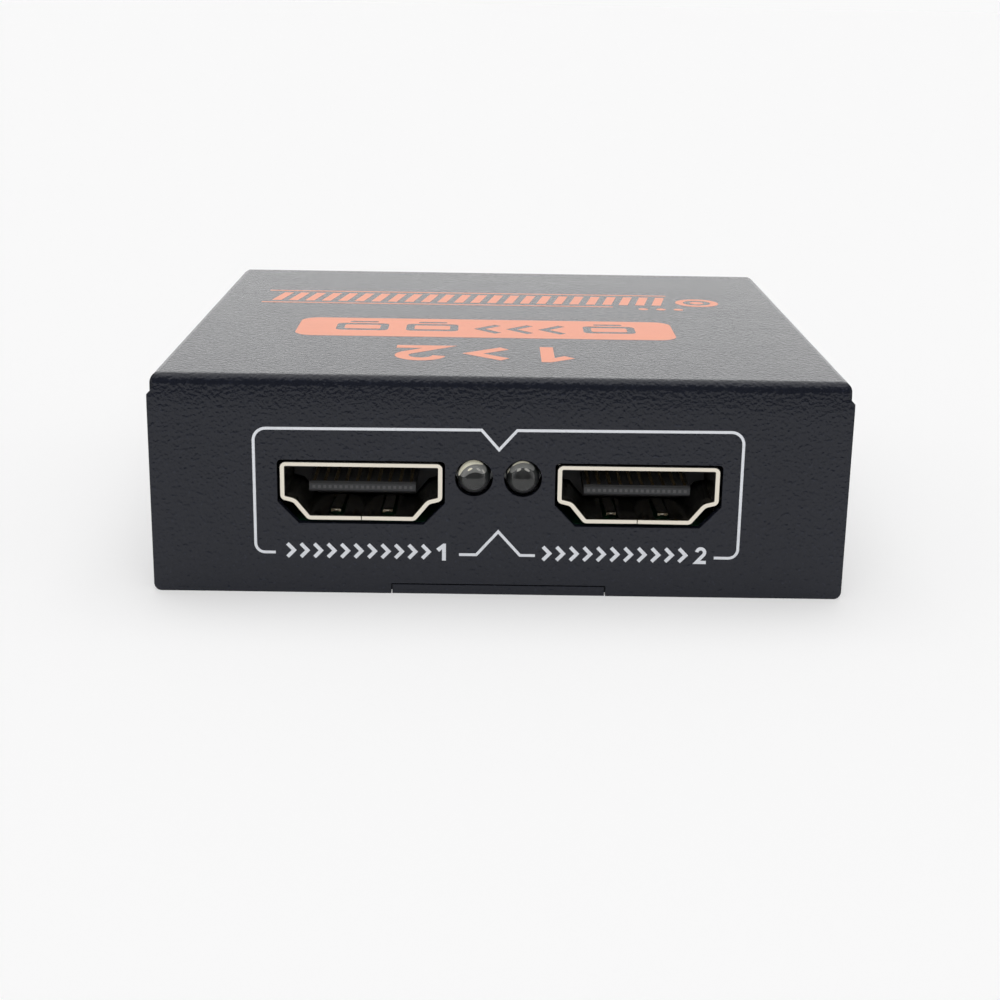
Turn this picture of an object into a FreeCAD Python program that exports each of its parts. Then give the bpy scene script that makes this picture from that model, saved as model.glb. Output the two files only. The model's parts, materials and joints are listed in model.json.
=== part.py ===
import FreeCAD, Part
import math
import os

import Sketcher

# A video splitter box: one input socket and a power jack at the back, two output sockets and two
# indicator lamps at the front, in a folded steel cover screwed to a flat steel base plate.
# Millimetres. The origin is the centre of the footprint, Z is up and the front faces -Y.

# Driving dimensions
SIZES = {
    # Folded cover
    "box_width": 64.2,
    "box_depth": 62.8,
    "box_height": 20.6,
    "cover_sheet": 0.9,
    "bend_radius": 1.1,
    "bend_end_inset": 0.55,
    "bend_end_radius": 0.6,
    "bend_relief_height": 1.9,
    "side_inset": 0.1,
    "seam_gap": 0.1,
    "flange_corner_radius": 0.7,
    "notch_width": 20.0,
    "notch_gap": 0.1,
    # Base plate with its four ears
    "base_sheet": 0.9,
    "base_clearance": 0.15,
    "ear_width": 9.0,
    "ear_height": 12.0,
    "ear_bend_radius": 1.2,
    "ear_relief": 0.6,
    "ear_spacing": 40.0,
    # Countersunk screws through the cover's sides
    "cover_screw_height": 9.0,
    "cover_screw_radius": 1.25,
    "cover_screw_length": 4.0,
    "cover_screw_head_radius": 2.05,
    "cover_screw_head_depth": 0.85,
    "cover_screw_play": 0.15,
    "countersink_play": 0.1,
    "thread_play": 0.02,
    # Circuit board on its standoffs
    "standoff_height": 4.0,
    "standoff_across_flats": 5.0,
    "standoff_stud_radius": 2.1,
    "board_thickness": 1.6,
    "board_width": 58.0,
    "board_setback": 1.9,
    "board_screw_spacing_x": 52.0,
    "board_screw_spacing_y": 49.4,
    "board_hole_radius": 1.6,
    "board_screw_radius": 1.25,
    "board_screw_length": 4.5,
    "board_screw_head_radius": 2.5,
    "board_screw_head_height": 1.6,
    # Places of the sockets and the lamps
    "socket_seat": 0.5,
    "output_spacing": 25.5,
    "input_place": -9.0,
    "mouth_recess": 0.15,
    # Socket shell, seen from its mouth
    "shell_width": 15.0,
    "shell_height": 5.6,
    "shell_length": 11.6,
    "shell_wall": 0.45,
    "shell_inner_radius": 0.12,
    "shell_shoulder_drop": 3.65,
    "shell_step_width": 1.2,
    "shell_step_drop": 0.3,
    "shell_floor_width": 9.9,
    "shell_seam_gap": 0.06,
    "shell_leg_width": 1.2,
    "front_leg_place": 3.4,
    "rear_leg_place": 9.4,
    "leg_reach": 0.6,
    "leg_play": 0.1,
    # Springs cut from the shell's floor and roof
    "floor_spring_spacing": 4.8,
    "floor_spring_width": 0.9,
    "floor_spring_tip": 0.75,
    "floor_spring_crest": 1.25,
    "floor_spring_rise": 0.5,
    "floor_spring_tip_drop": 0.05,
    "roof_spring_spacing": 7.0,
    "roof_spring_width": 1.6,
    "roof_spring_tip": 2.6,
    "roof_spring_crest": 3.8,
    "roof_spring_rise": 0.4,
    "roof_spring_tip_drop": 0.3,
    "spring_thickness": 0.25,
    "spring_window_margin": 0.3,
    # Socket insulator and its contacts
    "insulator_fit": 0.08,
    "insulator_front": 7.4,
    "insulator_tail": 2.0,
    "tongue_width": 9.9,
    "tongue_thickness": 1.0,
    "tongue_recess": 1.55,
    "tongue_chamfer": 0.2,
    "contact_pitch": 1.0,
    "contact_width": 0.3,
    "contact_thickness": 0.2,
    "contact_setback": 0.35,
    "contact_foot": 0.8,
    "contact_play": 0.02,
    "upper_contact_count": 10,
    "lower_contact_count": 9,
    # Window in the panel round each socket
    "window_width": 15.4,
    "window_rise": 3.0,
    "window_drop": 3.05,
    "window_shoulder_drop": 1.0,
    "window_floor_width": 11.5,
    "window_corner_radius": 0.4,
    # Indicator lamps
    "lamp_height": 11.3,
    "lamp_spacing": 4.5,
    "lamp_offset": -0.15,
    "lamp_radius": 1.5,
    "lamp_length": 5.3,
    "lamp_collar_radius": 1.9,
    "lamp_collar_length": 1.0,
    "lamp_hole_radius": 1.75,
    "lamp_reach": 1.0,
    "lead_width": 0.5,
    "lead_spacing": 2.54,
    "lead_frame_front": 2.2,
    "lead_frame_reach": 1.12,
    "cup_frame_width": 0.95,
    "post_frame_width": 0.5,
    "lead_shoulder_inset": 0.8,
    "lead_shoulder_depth": 0.4,
    "lead_run": 1.3,
    # Power jack
    "jack_place": 17.0,
    "jack_width": 9.0,
    "jack_length": 14.2,
    "jack_axis_height": 6.5,
    "jack_bore_radius": 3.2,
    "jack_bore_depth": 9.0,
    "jack_pin_radius": 1.0,
    "jack_pin_recess": 0.6,
    "jack_hole_radius": 4.0,
    "jack_gap": 0.1,
    "jack_leaf_width": 2.6,
    "jack_leaf_thickness": 0.3,
    "jack_leaf_rise": 0.3,
    "jack_slot_front": 2.2,
    "jack_terminal_width": 2.4,
    # Parts on the board
    "splitter_chip_width": 10.0,
    "splitter_chip_height": 1.4,
    "splitter_leg_count": 16,
    "splitter_leg_pitch": 0.5,
    "control_chip_width": 6.5,
    "control_chip_depth": 4.4,
    "control_chip_height": 1.0,
    "control_leg_count": 10,
    "control_leg_pitch": 0.65,
    "memory_chip_width": 4.9,
    "memory_chip_depth": 3.9,
    "memory_chip_height": 1.4,
    "memory_leg_count": 4,
    "memory_leg_pitch": 1.27,
    "chip_leg_width": 0.22,
    "chip_leg_thickness": 0.13,
    "chip_leg_reach": 1.0,
    "chip_leg_slope": 0.4,
    "chip_bevel": 0.18,
    "regulator_width": 6.5,
    "regulator_depth": 3.5,
    "regulator_height": 1.6,
    "regulator_lead_width": 0.7,
    "regulator_lead_pitch": 2.3,
    "regulator_tab_width": 3.0,
    "inductor_width": 5.0,
    "inductor_height": 2.8,
    "inductor_corner": 0.9,
    "crystal_length": 11.4,
    "crystal_width": 4.7,
    "crystal_height": 3.5,
    "crystal_base_height": 0.5,
    "can_radius": 3.1,
    "can_height": 5.0,
    "can_base_width": 6.6,
    "can_base_height": 0.8,
    "can_base_corner": 1.2,
    "ceramic_length": 1.6,
    "ceramic_width": 0.8,
    "ceramic_height": 0.8,
    "ceramic_pitch": 2.2,
    "ceramic_gap": 0.3,
    "resistor_length": 1.6,
    "resistor_width": 0.8,
    "resistor_height": 0.45,
    "surge_array_length": 2.5,
    "surge_array_width": 1.0,
    "surge_array_height": 0.6,
    "fuse_length": 4.5,
    "fuse_width": 3.2,
    "fuse_height": 0.9,
    "diode_length": 4.4,
    "diode_width": 2.6,
    "diode_height": 2.2,
    # Layout of the board, each place the centre of a part or of the first of its row
    "splitter_chip_x": -5.0,
    "splitter_chip_y": -1.0,
    "control_chip_x": 9.5,
    "control_chip_y": -10.0,
    "memory_chip_x": 9.5,
    "memory_chip_y": 0.0,
    "regulator_x": 21.0,
    "regulator_y": 4.0,
    "inductor_x": 21.0,
    "inductor_y": -4.0,
    "crystal_x": -21.5,
    "crystal_y": -10.5,
    "output_can_x": 21.0,
    "output_can_y": -11.5,
    "input_can_x": 5.0,
    "input_can_y": 11.5,
    "fuse_x": 21.0,
    "fuse_y": 11.5,
    "diode_x": 13.5,
    "diode_y": 11.0,
    "surge_array_y": 15.3,
    "surge_array_spacing": 6.4,
    "resistor_x": -22.0,
    "resistor_y": 3.0,
    "resistor_column_pitch": 2.4,
    "resistor_row_pitch": 2.6,
    "resistor_columns": 3,
    "resistor_rows": 4,
    "ceramics_per_side": 5,
}

doc = FreeCAD.newDocument("splitter")
sheet = doc.addObject("Spreadsheet::Sheet", "sizes")


class Size:
    """A length that carries its number and the sheet formula that it comes from."""

    def __init__(self, value, formula):
        self.value = value
        self.formula = formula

    def __add__(self, other):
        other = as_size(other)
        return Size(self.value + other.value, f"({self.formula} + {other.formula})")

    def __sub__(self, other):
        other = as_size(other)
        return Size(self.value - other.value, f"({self.formula} - {other.formula})")

    def __mul__(self, other):
        other = as_size(other)
        return Size(self.value * other.value, f"({self.formula} * {other.formula})")

    def __truediv__(self, other):
        other = as_size(other)
        return Size(self.value / other.value, f"({self.formula} / {other.formula})")

    def __neg__(self):
        return Size(-self.value, f"(-1 * {self.formula})")

    def __radd__(self, other):
        return as_size(other) + self

    def __rsub__(self, other):
        return as_size(other) - self

    def __rmul__(self, other):
        return as_size(other) * self


def as_size(thing):
    """Let a plain number stand in a formula beside sizes."""
    if isinstance(thing, Size):
        return thing
    return Size(float(thing), repr(float(thing)))


class SheetSizes:
    """The sheet's cells as attributes, each a Size."""


S = SheetSizes()
for row, (alias, number) in enumerate(SIZES.items(), start=1):
    sheet.set(f"A{row}", alias.replace("_", " "))
    sheet.set(f"B{row}", str(number))
    sheet.setAlias(f"B{row}", alias)
    setattr(S, alias, Size(float(number), f"sizes.{alias}"))
doc.recompute()


# Sketch helpers


class Arc:
    """A round stretch of an outline, between two angles that are multiples of 90 degrees."""

    def __init__(self, x, y, radius, start, end):
        self.x = as_size(x)
        self.y = as_size(y)
        self.radius = as_size(radius)
        self.start = start
        self.end = end

    def point(self, angle):
        turn = math.radians(angle)
        x = self.x.value + self.radius.value * math.cos(turn)
        y = self.y.value + self.radius.value * math.sin(turn)
        return FreeCAD.Vector(x, y, 0)


class Circle:
    """A whole circle in a sketch."""

    def __init__(self, x, y, radius):
        self.x = as_size(x)
        self.y = as_size(y)
        self.radius = as_size(radius)


def rectangle(x_low, x_high, y_low, y_high):
    """Four corners of an upright rectangle."""
    return [(x_low, y_low), (x_high, y_low), (x_high, y_high), (x_low, y_high)]


def centred(x, y, width, depth):
    """Four corners of a rectangle about a centre."""
    return rectangle(x - width / 2, x + width / 2, y - depth / 2, y + depth / 2)


class Drawing:
    """The lines, arcs and circles of one sketch, with the rules that hold them."""

    def __init__(self, sketch):
        self.sketch = sketch
        self.rules = []

    def rule(self, kind, *ends, size=None):
        """Note one constraint, and the size that drives it where it has one."""
        values = ends if size is None else (*ends, size.value)
        self.rules.append((Sketcher.Constraint(kind, *values), size))

    def pin_point(self, shape, end, x, y):
        """Hold one point at a place given by two sizes."""
        for kind, place, axis in (("DistanceX", as_size(x), -2), ("DistanceY", as_size(y), -1)):
            if abs(place.value) < 1e-9:
                self.rule("PointOnObject", shape, end, axis)
            else:
                self.rule(kind, -1, 1, shape, end, size=place)

    def circle(self, circle):
        centre = FreeCAD.Vector(circle.x.value, circle.y.value, 0)
        up = FreeCAD.Vector(0, 0, 1)
        shape = self.sketch.addGeometry(Part.Circle(centre, up, circle.radius.value), False)
        self.pin_point(shape, 3, circle.x, circle.y)
        self.rule("Radius", shape, size=circle.radius)

    def arc(self, arc):
        """Draw one arc and return its number with its first and last ends along the outline."""
        centre = FreeCAD.Vector(arc.x.value, arc.y.value, 0)
        circle = Part.Circle(centre, FreeCAD.Vector(0, 0, 1), arc.radius.value)
        low, high = sorted((arc.start, arc.end))
        curve = Part.ArcOfCircle(circle, math.radians(low), math.radians(high))
        shape = self.sketch.addGeometry(curve, False)
        self.pin_point(shape, 3, arc.x, arc.y)
        self.rule("Radius", shape, size=arc.radius)
        for end, angle in ((1, low), (2, high)):
            line_up = "Horizontal" if angle % 180 == 0 else "Vertical"
            self.rule(line_up, shape, end, shape, 3)
        return (shape, 1, 2) if arc.start < arc.end else (shape, 2, 1)

    def outline(self, outline):
        """Draw a closed outline of corner points and arcs."""
        stops = []
        for item in outline:
            if isinstance(item, Arc):
                shape, first, last = self.arc(item)
                stops.append((item.point(item.start), item.point(item.end), (shape, first), (shape, last)))
            else:
                place = FreeCAD.Vector(as_size(item[0]).value, as_size(item[1]).value, 0)
                stops.append((place, place, None, None))
        lines = []
        for stop, after in zip(stops, stops[1:] + stops[:1]):
            lines.append(self.sketch.addGeometry(Part.LineSegment(stop[1], after[0]), False))
        for index, (stop, line) in enumerate(zip(stops, lines)):
            before = lines[index - 1]
            if stop[2]:
                self.rule("Coincident", before, 2, *stop[2])
                self.rule("Coincident", *stop[3], line, 1)
            else:
                self.rule("Coincident", before, 2, line, 1)
                self.pin_point(line, 1, outline[index][0], outline[index][1])

    def finish(self):
        """Give the sketch its rules and bind each driven one to the sheet."""
        self.sketch.addConstraint([rule for rule, size in self.rules])
        for index, (rule, size) in enumerate(self.rules):
            if size is not None:
                self.sketch.setExpression(f"Constraints[{index}]", size.formula)


# Feature helpers

AXES = {
    "XY_Plane": FreeCAD.Vector(0, 0, 1),
    "XZ_Plane": FreeCAD.Vector(0, 1, 0),
    "YZ_Plane": FreeCAD.Vector(1, 0, 0),
}


def new_body(label):
    body = doc.addObject("PartDesign::Body", label)
    body.Label = label
    return body


def put_sketch(body, role, place, outlines):
    """Draw outlines on one of the body's own planes, moved to a place along its axis."""
    sketch = body.newObject("Sketcher::SketchObject", body.Label + "_sketch")
    plane = [feature for feature in body.Origin.OriginFeatures if feature.Role == role][0]
    sketch.AttachmentSupport = [(plane, "")]
    sketch.MapMode = "FlatFace"
    place = as_size(place)
    offset = -place if role == "XZ_Plane" else place
    sketch.setExpression("AttachmentOffset.Base.z", offset.formula)
    drawing = Drawing(sketch)
    for outline in outlines:
        if isinstance(outline, Circle):
            drawing.circle(outline)
        else:
            drawing.outline(outline)
    drawing.finish()
    return sketch


def pad(body, role, low, high, outlines):
    """Extrude outlines between two places along the plane's axis."""
    sketch = put_sketch(body, role, low, outlines)
    feature = body.newObject("PartDesign::Pad", body.Label + "_pad")
    feature.Profile = sketch
    feature.Reversed = role == "XZ_Plane"
    feature.setExpression("Length", (as_size(high) - low).formula)
    body.recompute(True)
    return feature


def cut(body, role, low, high, outlines):
    """Remove outlines between two places along the plane's axis, and check that material went."""
    before = body.Shape.Volume
    sketch = put_sketch(body, role, low, outlines)
    feature = body.newObject("PartDesign::Pocket", body.Label + "_cut")
    feature.Profile = sketch
    feature.Reversed = role != "XZ_Plane"
    feature.setExpression("Length", (as_size(high) - low).formula)
    body.recompute(True)
    if not body.Shape.Volume < before:
        raise RuntimeError(f"a cut in {body.Label} removes nothing")
    return feature


def repeat(body, feature, axis, length, count):
    """Copy a feature along an axis of its sketch."""
    pattern = body.newObject("PartDesign::LinearPattern", body.Label + "_row")
    pattern.Originals = [feature]
    pattern.Direction = (feature.Profile[0], [axis])
    pattern.setExpression("Length", as_size(length).formula)
    pattern.setExpression("Occurrences", as_size(count).formula)
    body.Tip = pattern
    body.recompute(True)
    return pattern


def edges_where(body, test):
    """Names of the edges of a body that pass a test."""
    shape = body.Tip.Shape
    return [f"Edge{index}" for index, edge in enumerate(shape.Edges, start=1) if test(edge)]


def runs_along(edge, axis):
    """True for a straight edge parallel to an axis."""
    if not isinstance(edge.Curve, Part.Line):
        return False
    return abs(edge.tangentAt(edge.FirstParameter).dot(axis)) > 0.999


def near(edge, **place):
    """True where the middle of an edge's box lies at the given coordinates."""
    middle = edge.BoundBox.Center
    return all(abs(getattr(middle, name) - as_size(value).value) < 0.02 for name, value in place.items())


def soften(body, kind, edges, size):
    """Round or bevel the named edges of a body."""
    if not edges:
        raise RuntimeError(f"no edge to finish on {body.Label}")
    base = body.Tip
    feature = body.newObject(f"PartDesign::{kind}", f"{body.Label}_{kind.lower()}")
    feature.Base = (base, edges)
    feature.setExpression("Radius" if kind == "Fillet" else "Size", as_size(size).formula)
    body.recompute(True)
    return feature


def place_body(body, x, y, z, turned=False):
    """Put a body at its place in the box, turned to the back where it faces backwards."""
    angle = 180 if turned else 0
    rotation = FreeCAD.Rotation(FreeCAD.Vector(0, 0, 1), angle)
    body.Placement = FreeCAD.Placement(FreeCAD.Vector(0, 0, 0), rotation)
    for name, value in (("x", x), ("y", y), ("z", z)):
        body.setExpression(f"Placement.Base.{name}", as_size(value).formula)


def span(side, inner, outer):
    """Low and high ends of a stretch on the right side, or its mirror image on the left."""
    return (inner, outer) if side > 0 else (-outer, -inner)


def mirror_angles(side, start, end):
    """Angles of an arc on the right side, or of its mirror image on the left."""
    return (start, end) if side > 0 else (180 - start, 180 - end)


# Places that several pieces share
HALF_WIDTH = S.box_width / 2
FRONT = -S.box_depth / 2
BACK = S.box_depth / 2
SIDE_FACE = HALF_WIDTH - S.side_inset
EAR_FACE = SIDE_FACE - S.cover_sheet - S.base_clearance
BASE_END = BACK - S.cover_sheet - S.base_clearance
BOARD_BOTTOM = S.base_sheet + S.standoff_height
BOARD_TOP = BOARD_BOTTOM + S.board_thickness
SOCKET_HEIGHT = BOARD_TOP + S.socket_seat + S.shell_height / 2
MOUTH = FRONT + S.mouth_recess
BOARD_FRONT = FRONT + S.board_setback
JACK_HEIGHT = BOARD_TOP + S.jack_axis_height
JACK_MOUTH = BACK - S.cover_sheet - S.jack_gap
OUTPUT_PLACES = (-S.output_spacing / 2, S.output_spacing / 2)
LAMP_PLACES = (S.lamp_offset - S.lamp_spacing / 2, S.lamp_offset + S.lamp_spacing / 2)
SCREW_PLACES = [
    (x, y)
    for x in (-S.board_screw_spacing_x / 2, S.board_screw_spacing_x / 2)
    for y in (-S.board_screw_spacing_y / 2, S.board_screw_spacing_y / 2)
]
EAR_PLACES = (-S.ear_spacing / 2, S.ear_spacing / 2)
PAST = 1.0


# Cover


def window_outline(x):
    """Panel window that follows a socket, with cut-off lower corners."""
    half = S.window_width / 2
    radius = S.window_corner_radius
    top = SOCKET_HEIGHT + S.window_rise
    shoulder = SOCKET_HEIGHT - S.window_shoulder_drop
    floor = SOCKET_HEIGHT - S.window_drop
    return [
        (x - S.window_floor_width / 2, floor),
        (x + S.window_floor_width / 2, floor),
        (x + half, shoulder),
        Arc(x + half - radius, top - radius, radius, 0, 90),
        Arc(x - half + radius, top - radius, radius, 90, 180),
        (x - half, shoulder),
    ]


def make_cover():
    """Top, front and back folded from one strip, with the two sides folded down behind them."""
    body = new_body("cover")
    sheet_thickness = S.cover_sheet
    radius = S.bend_radius
    inner = radius - sheet_thickness
    top = S.box_height
    channel = [
        (FRONT, 0),
        Arc(FRONT + radius, top - radius, radius, 180, 90),
        Arc(BACK - radius, top - radius, radius, 90, 0),
        (BACK, 0),
        (BACK - sheet_thickness, 0),
        Arc(BACK - radius, top - radius, inner, 0, 90),
        Arc(FRONT + radius, top - radius, inner, 90, 180),
        (FRONT + sheet_thickness, 0),
    ]
    pad(body, "YZ_Plane", -HALF_WIDTH, HALF_WIDTH, [channel])
    corners = edges_where(
        body,
        lambda edge: runs_along(edge, AXES["XZ_Plane"]) and near(edge, z=0),
    )
    soften(body, "Fillet", corners, S.flange_corner_radius)

    # The ends of the front and back bends are drawn in and rounded to clear the side bends
    trims = []
    for side in (1, -1):
        end = HALF_WIDTH - S.bend_end_inset
        end_radius = S.bend_end_radius
        start, finish = mirror_angles(side, 0, 90)
        trims.append([
            (side * (HALF_WIDTH + PAST), top - S.bend_relief_height),
            (side * HALF_WIDTH, top - S.bend_relief_height),
            (side * end, top - S.bend_relief_height + S.bend_end_inset),
            Arc(side * (end - end_radius), top - end_radius, end_radius, start, finish),
            (side * (end - end_radius), top + PAST),
            (side * (HALF_WIDTH + PAST), top + PAST),
        ])
    cut(body, "XZ_Plane", FRONT - PAST, BACK + PAST, trims)

    sides = []
    for side in (1, -1):
        out_start, out_end = mirror_angles(side, 0, 90)
        joint = SIDE_FACE - radius - PAST
        sides.append([
            (side * SIDE_FACE, 0),
            Arc(side * (SIDE_FACE - radius), top - radius, radius, out_start, out_end),
            (side * joint, top),
            (side * joint, top - sheet_thickness),
            Arc(side * (SIDE_FACE - radius), top - radius, inner, out_end, out_start),
            (side * (SIDE_FACE - sheet_thickness), 0),
        ])
    side_end = BACK - radius
    pad(body, "XZ_Plane", -side_end, side_end, sides)

    notch_top = S.base_sheet + S.notch_gap
    notch = rectangle(-S.notch_width / 2, S.notch_width / 2, -PAST, notch_top)
    front_panel = (FRONT - PAST, FRONT + sheet_thickness + S.seam_gap)
    back_panel = (BACK - sheet_thickness - S.seam_gap, BACK + PAST)
    lamp_holes = [Circle(x, S.lamp_height, S.lamp_hole_radius) for x in LAMP_PLACES]
    front_windows = [window_outline(x) for x in OUTPUT_PLACES]
    cut(body, "XZ_Plane", *front_panel, [notch] + front_windows + lamp_holes)
    jack_hole = Circle(S.jack_place, JACK_HEIGHT, S.jack_hole_radius)
    cut(body, "XZ_Plane", *back_panel, [notch, window_outline(S.input_place), jack_hole])

    hole_radius = S.cover_screw_radius + S.cover_screw_play
    holes = [Circle(y, S.cover_screw_height, hole_radius) for y in EAR_PLACES]
    cut(body, "YZ_Plane", -HALF_WIDTH - PAST, HALF_WIDTH + PAST, holes)
    rims = edges_where(
        body,
        lambda edge: isinstance(edge.Curve, Part.Circle)
        and near(edge, z=S.cover_screw_height)
        and abs(abs(edge.BoundBox.Center.x) - SIDE_FACE.value) < 0.01,
    )
    soften(body, "Chamfer", rims, S.cover_screw_head_radius + S.countersink_play - hole_radius)
    return body


# Base plate


def make_base_plate():
    """Flat plate with a tab in each panel's notch and four ears bent up to the cover's sides."""
    body = new_body("base_plate")
    tab = S.notch_width / 2 - S.notch_gap
    plate = [
        (-EAR_FACE, -BASE_END),
        (-tab, -BASE_END),
        (-tab, FRONT),
        (tab, FRONT),
        (tab, -BASE_END),
        (EAR_FACE, -BASE_END),
        (EAR_FACE, BASE_END),
        (tab, BASE_END),
        (tab, BACK),
        (-tab, BACK),
        (-tab, BASE_END),
        (-EAR_FACE, BASE_END),
    ]
    pad(body, "XY_Plane", 0, S.base_sheet, [plate])
    radius = S.ear_bend_radius
    inner = radius - S.base_sheet
    notch_width = S.ear_width + 2 * S.ear_relief
    notches = []
    for side in (1, -1):
        low, high = span(side, EAR_FACE - radius, EAR_FACE + PAST)
        for y in EAR_PLACES:
            notches.append(rectangle(low, high, y - notch_width / 2, y + notch_width / 2))
    cut(body, "XY_Plane", -PAST, S.base_sheet + PAST, notches)
    profiles = []
    for side in (1, -1):
        down, out = mirror_angles(side, -90, 0)
        root = EAR_FACE - radius - PAST
        profiles.append([
            (side * root, 0),
            Arc(side * (EAR_FACE - radius), radius, radius, down, out),
            (side * EAR_FACE, S.ear_height),
            (side * (EAR_FACE - S.base_sheet), S.ear_height),
            Arc(side * (EAR_FACE - radius), radius, inner, out, down),
            (side * root, S.base_sheet),
        ])
    for y in EAR_PLACES:
        pad(body, "XZ_Plane", y - S.ear_width / 2, y + S.ear_width / 2, profiles)
    corners = edges_where(
        body,
        lambda edge: runs_along(edge, AXES["YZ_Plane"]) and near(edge, z=S.ear_height),
    )
    soften(body, "Chamfer", corners, S.ear_bend_radius)
    threads = [Circle(y, S.cover_screw_height, S.cover_screw_radius + S.thread_play) for y in EAR_PLACES]
    cut(body, "YZ_Plane", -HALF_WIDTH, HALF_WIDTH, threads)
    studs = [Circle(x, y, S.standoff_stud_radius + S.thread_play) for x, y in SCREW_PLACES]
    cut(body, "XY_Plane", -PAST, S.base_sheet + PAST, studs)
    return body


# Screws and standoffs


def make_cover_screws():
    """Four countersunk screws, two through each side of the cover into the ears."""
    body = new_body("cover_screws")
    z = S.cover_screw_height
    face = SIDE_FACE
    for side in (1, -1):
        shank = span(side, face - S.cover_screw_length, face)
        head = span(side, face - S.cover_screw_head_depth, face)
        pad(body, "YZ_Plane", *shank, [Circle(y, z, S.cover_screw_radius) for y in EAR_PLACES])
        pad(body, "YZ_Plane", *head, [Circle(y, z, S.cover_screw_head_radius) for y in EAR_PLACES])
    seat = SIDE_FACE - S.cover_screw_head_depth
    rims = edges_where(
        body,
        lambda edge: isinstance(edge.Curve, Part.Circle)
        and abs(edge.Curve.Radius - S.cover_screw_head_radius.value) < 1e-4
        and abs(abs(edge.BoundBox.Center.x) - seat.value) < 0.01,
    )
    soften(body, "Chamfer", rims, S.cover_screw_head_radius - S.cover_screw_radius - S.thread_play)
    return body


def hexagon(x, y, across):
    """Outline of a hexagonal bar with a flat at its front and back."""
    flat = across / 2
    corner = flat / math.cos(math.pi / 6)
    return [
        (x - corner, y), (x - corner / 2, y - flat), (x + corner / 2, y - flat),
        (x + corner, y), (x + corner / 2, y + flat), (x - corner / 2, y + flat),
    ]


def make_board_standoffs():
    """Four hexagonal standoffs with a stud pressed into the base plate, flush with its underside."""
    body = new_body("board_standoffs")
    pad(body, "XY_Plane", 0, S.base_sheet, [Circle(x, y, S.standoff_stud_radius) for x, y in SCREW_PLACES])
    posts = [hexagon(x, y, S.standoff_across_flats) for x, y in SCREW_PLACES]
    pad(body, "XY_Plane", S.base_sheet, BOARD_BOTTOM, posts)
    threads = [Circle(x, y, S.board_screw_radius + S.thread_play) for x, y in SCREW_PLACES]
    cut(body, "XY_Plane", S.base_sheet, BOARD_BOTTOM + PAST, threads)
    return body


def make_board_screws():
    """Four cheese-headed screws that hold the board on its standoffs."""
    body = new_body("board_screws")
    shanks = [Circle(x, y, S.board_screw_radius) for x, y in SCREW_PLACES]
    heads = [Circle(x, y, S.board_screw_head_radius) for x, y in SCREW_PLACES]
    pad(body, "XY_Plane", BOARD_TOP - S.board_screw_length, BOARD_TOP, shanks)
    pad(body, "XY_Plane", BOARD_TOP, BOARD_TOP + S.board_screw_head_height, heads)
    return body


# Circuit board


def leg_places():
    """Places along the socket, from its mouth, of its two pairs of legs."""
    return (S.front_leg_place, S.rear_leg_place)


def make_circuit_board():
    """Board with holes for its screws and for every leg that goes through it."""
    body = new_body("circuit_board")
    depths = (BOARD_BOTTOM - PAST, BOARD_TOP + PAST)
    outline = rectangle(-S.board_width / 2, S.board_width / 2, BOARD_FRONT, -BOARD_FRONT)
    pad(body, "XY_Plane", BOARD_BOTTOM, BOARD_TOP, [outline])
    cut(body, "XY_Plane", *depths, [Circle(x, y, S.board_hole_radius) for x, y in SCREW_PLACES])

    leg_x = S.shell_width / 2 - S.shell_wall / 2
    leg_hole = (S.shell_wall + 2 * S.leg_play, S.shell_leg_width + 2 * S.leg_play)
    sockets = [(x, MOUTH, 1) for x in OUTPUT_PLACES] + [(S.input_place, -MOUTH, -1)]
    for x, mouth, inwards in sockets:
        slots = [
            centred(x + side * leg_x, mouth + inwards * leg, *leg_hole)
            for leg in leg_places()
            for side in (1, -1)
        ]
        cut(body, "XY_Plane", *depths, slots)

    lead_hole = S.lead_width + 2 * S.leg_play
    lead_holes = [
        centred(x + side * S.lead_spacing / 2, lead_drop_place(), lead_hole, lead_hole)
        for x in LAMP_PLACES
        for side in (1, -1)
    ]
    cut(body, "XY_Plane", *depths, lead_holes)
    play = 2 * S.leg_play
    jack_slots = [
        centred(S.jack_place - across, JACK_MOUTH - along, width + play, depth + play)
        for across, along, width, depth in jack_terminals()
    ]
    cut(body, "XY_Plane", *depths, jack_slots)
    return body


# Sockets, each drawn from the middle of its mouth with Y going in


def socket_outline(inset):
    """Outline of the socket's mouth, drawn in all round by an inset."""
    half = S.shell_width / 2
    top = S.shell_height / 2
    shoulder = top - S.shell_shoulder_drop
    step_x = half - S.shell_step_width
    step_z = shoulder - S.shell_step_drop
    foot = S.shell_floor_width / 2
    step_slope = math.atan2(S.shell_step_drop.value, S.shell_step_width.value)
    drop = (step_z + top).value
    flank_slope = math.atan2(drop, (step_x - foot).value)
    shoulder_rise = 1 / math.cos(step_slope) - math.tan(step_slope)
    half_turn = (step_slope + flank_slope) / 2
    step_reach = 1 / math.cos((flank_slope - step_slope) / 2)
    step_in = step_reach * math.sin(half_turn)
    step_up = step_reach * math.cos(half_turn)
    foot_in = math.tan(flank_slope / 2)
    right = [
        (foot - inset * foot_in, inset - top),
        (step_x - inset * step_in, step_z + inset * step_up),
        (half - inset, shoulder + inset * shoulder_rise),
        (half - inset, top - inset),
    ]
    left = [(-x, y) for x, y in reversed(right)]
    return right + left


def spring_outline(tip, crest, rise, tip_drop, surface, outwards):
    """Side view of a leaf that rises from the wall to a crest and dips again at its free tip."""
    thickness = S.spring_thickness
    root = S.insulator_front
    inner = surface - outwards * rise
    end = inner + outwards * tip_drop
    return [
        (root, surface),
        (crest, inner),
        (tip, end),
        (tip, end + outwards * thickness),
        (crest, inner + outwards * thickness),
        (root, surface + outwards * thickness),
    ]


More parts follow.
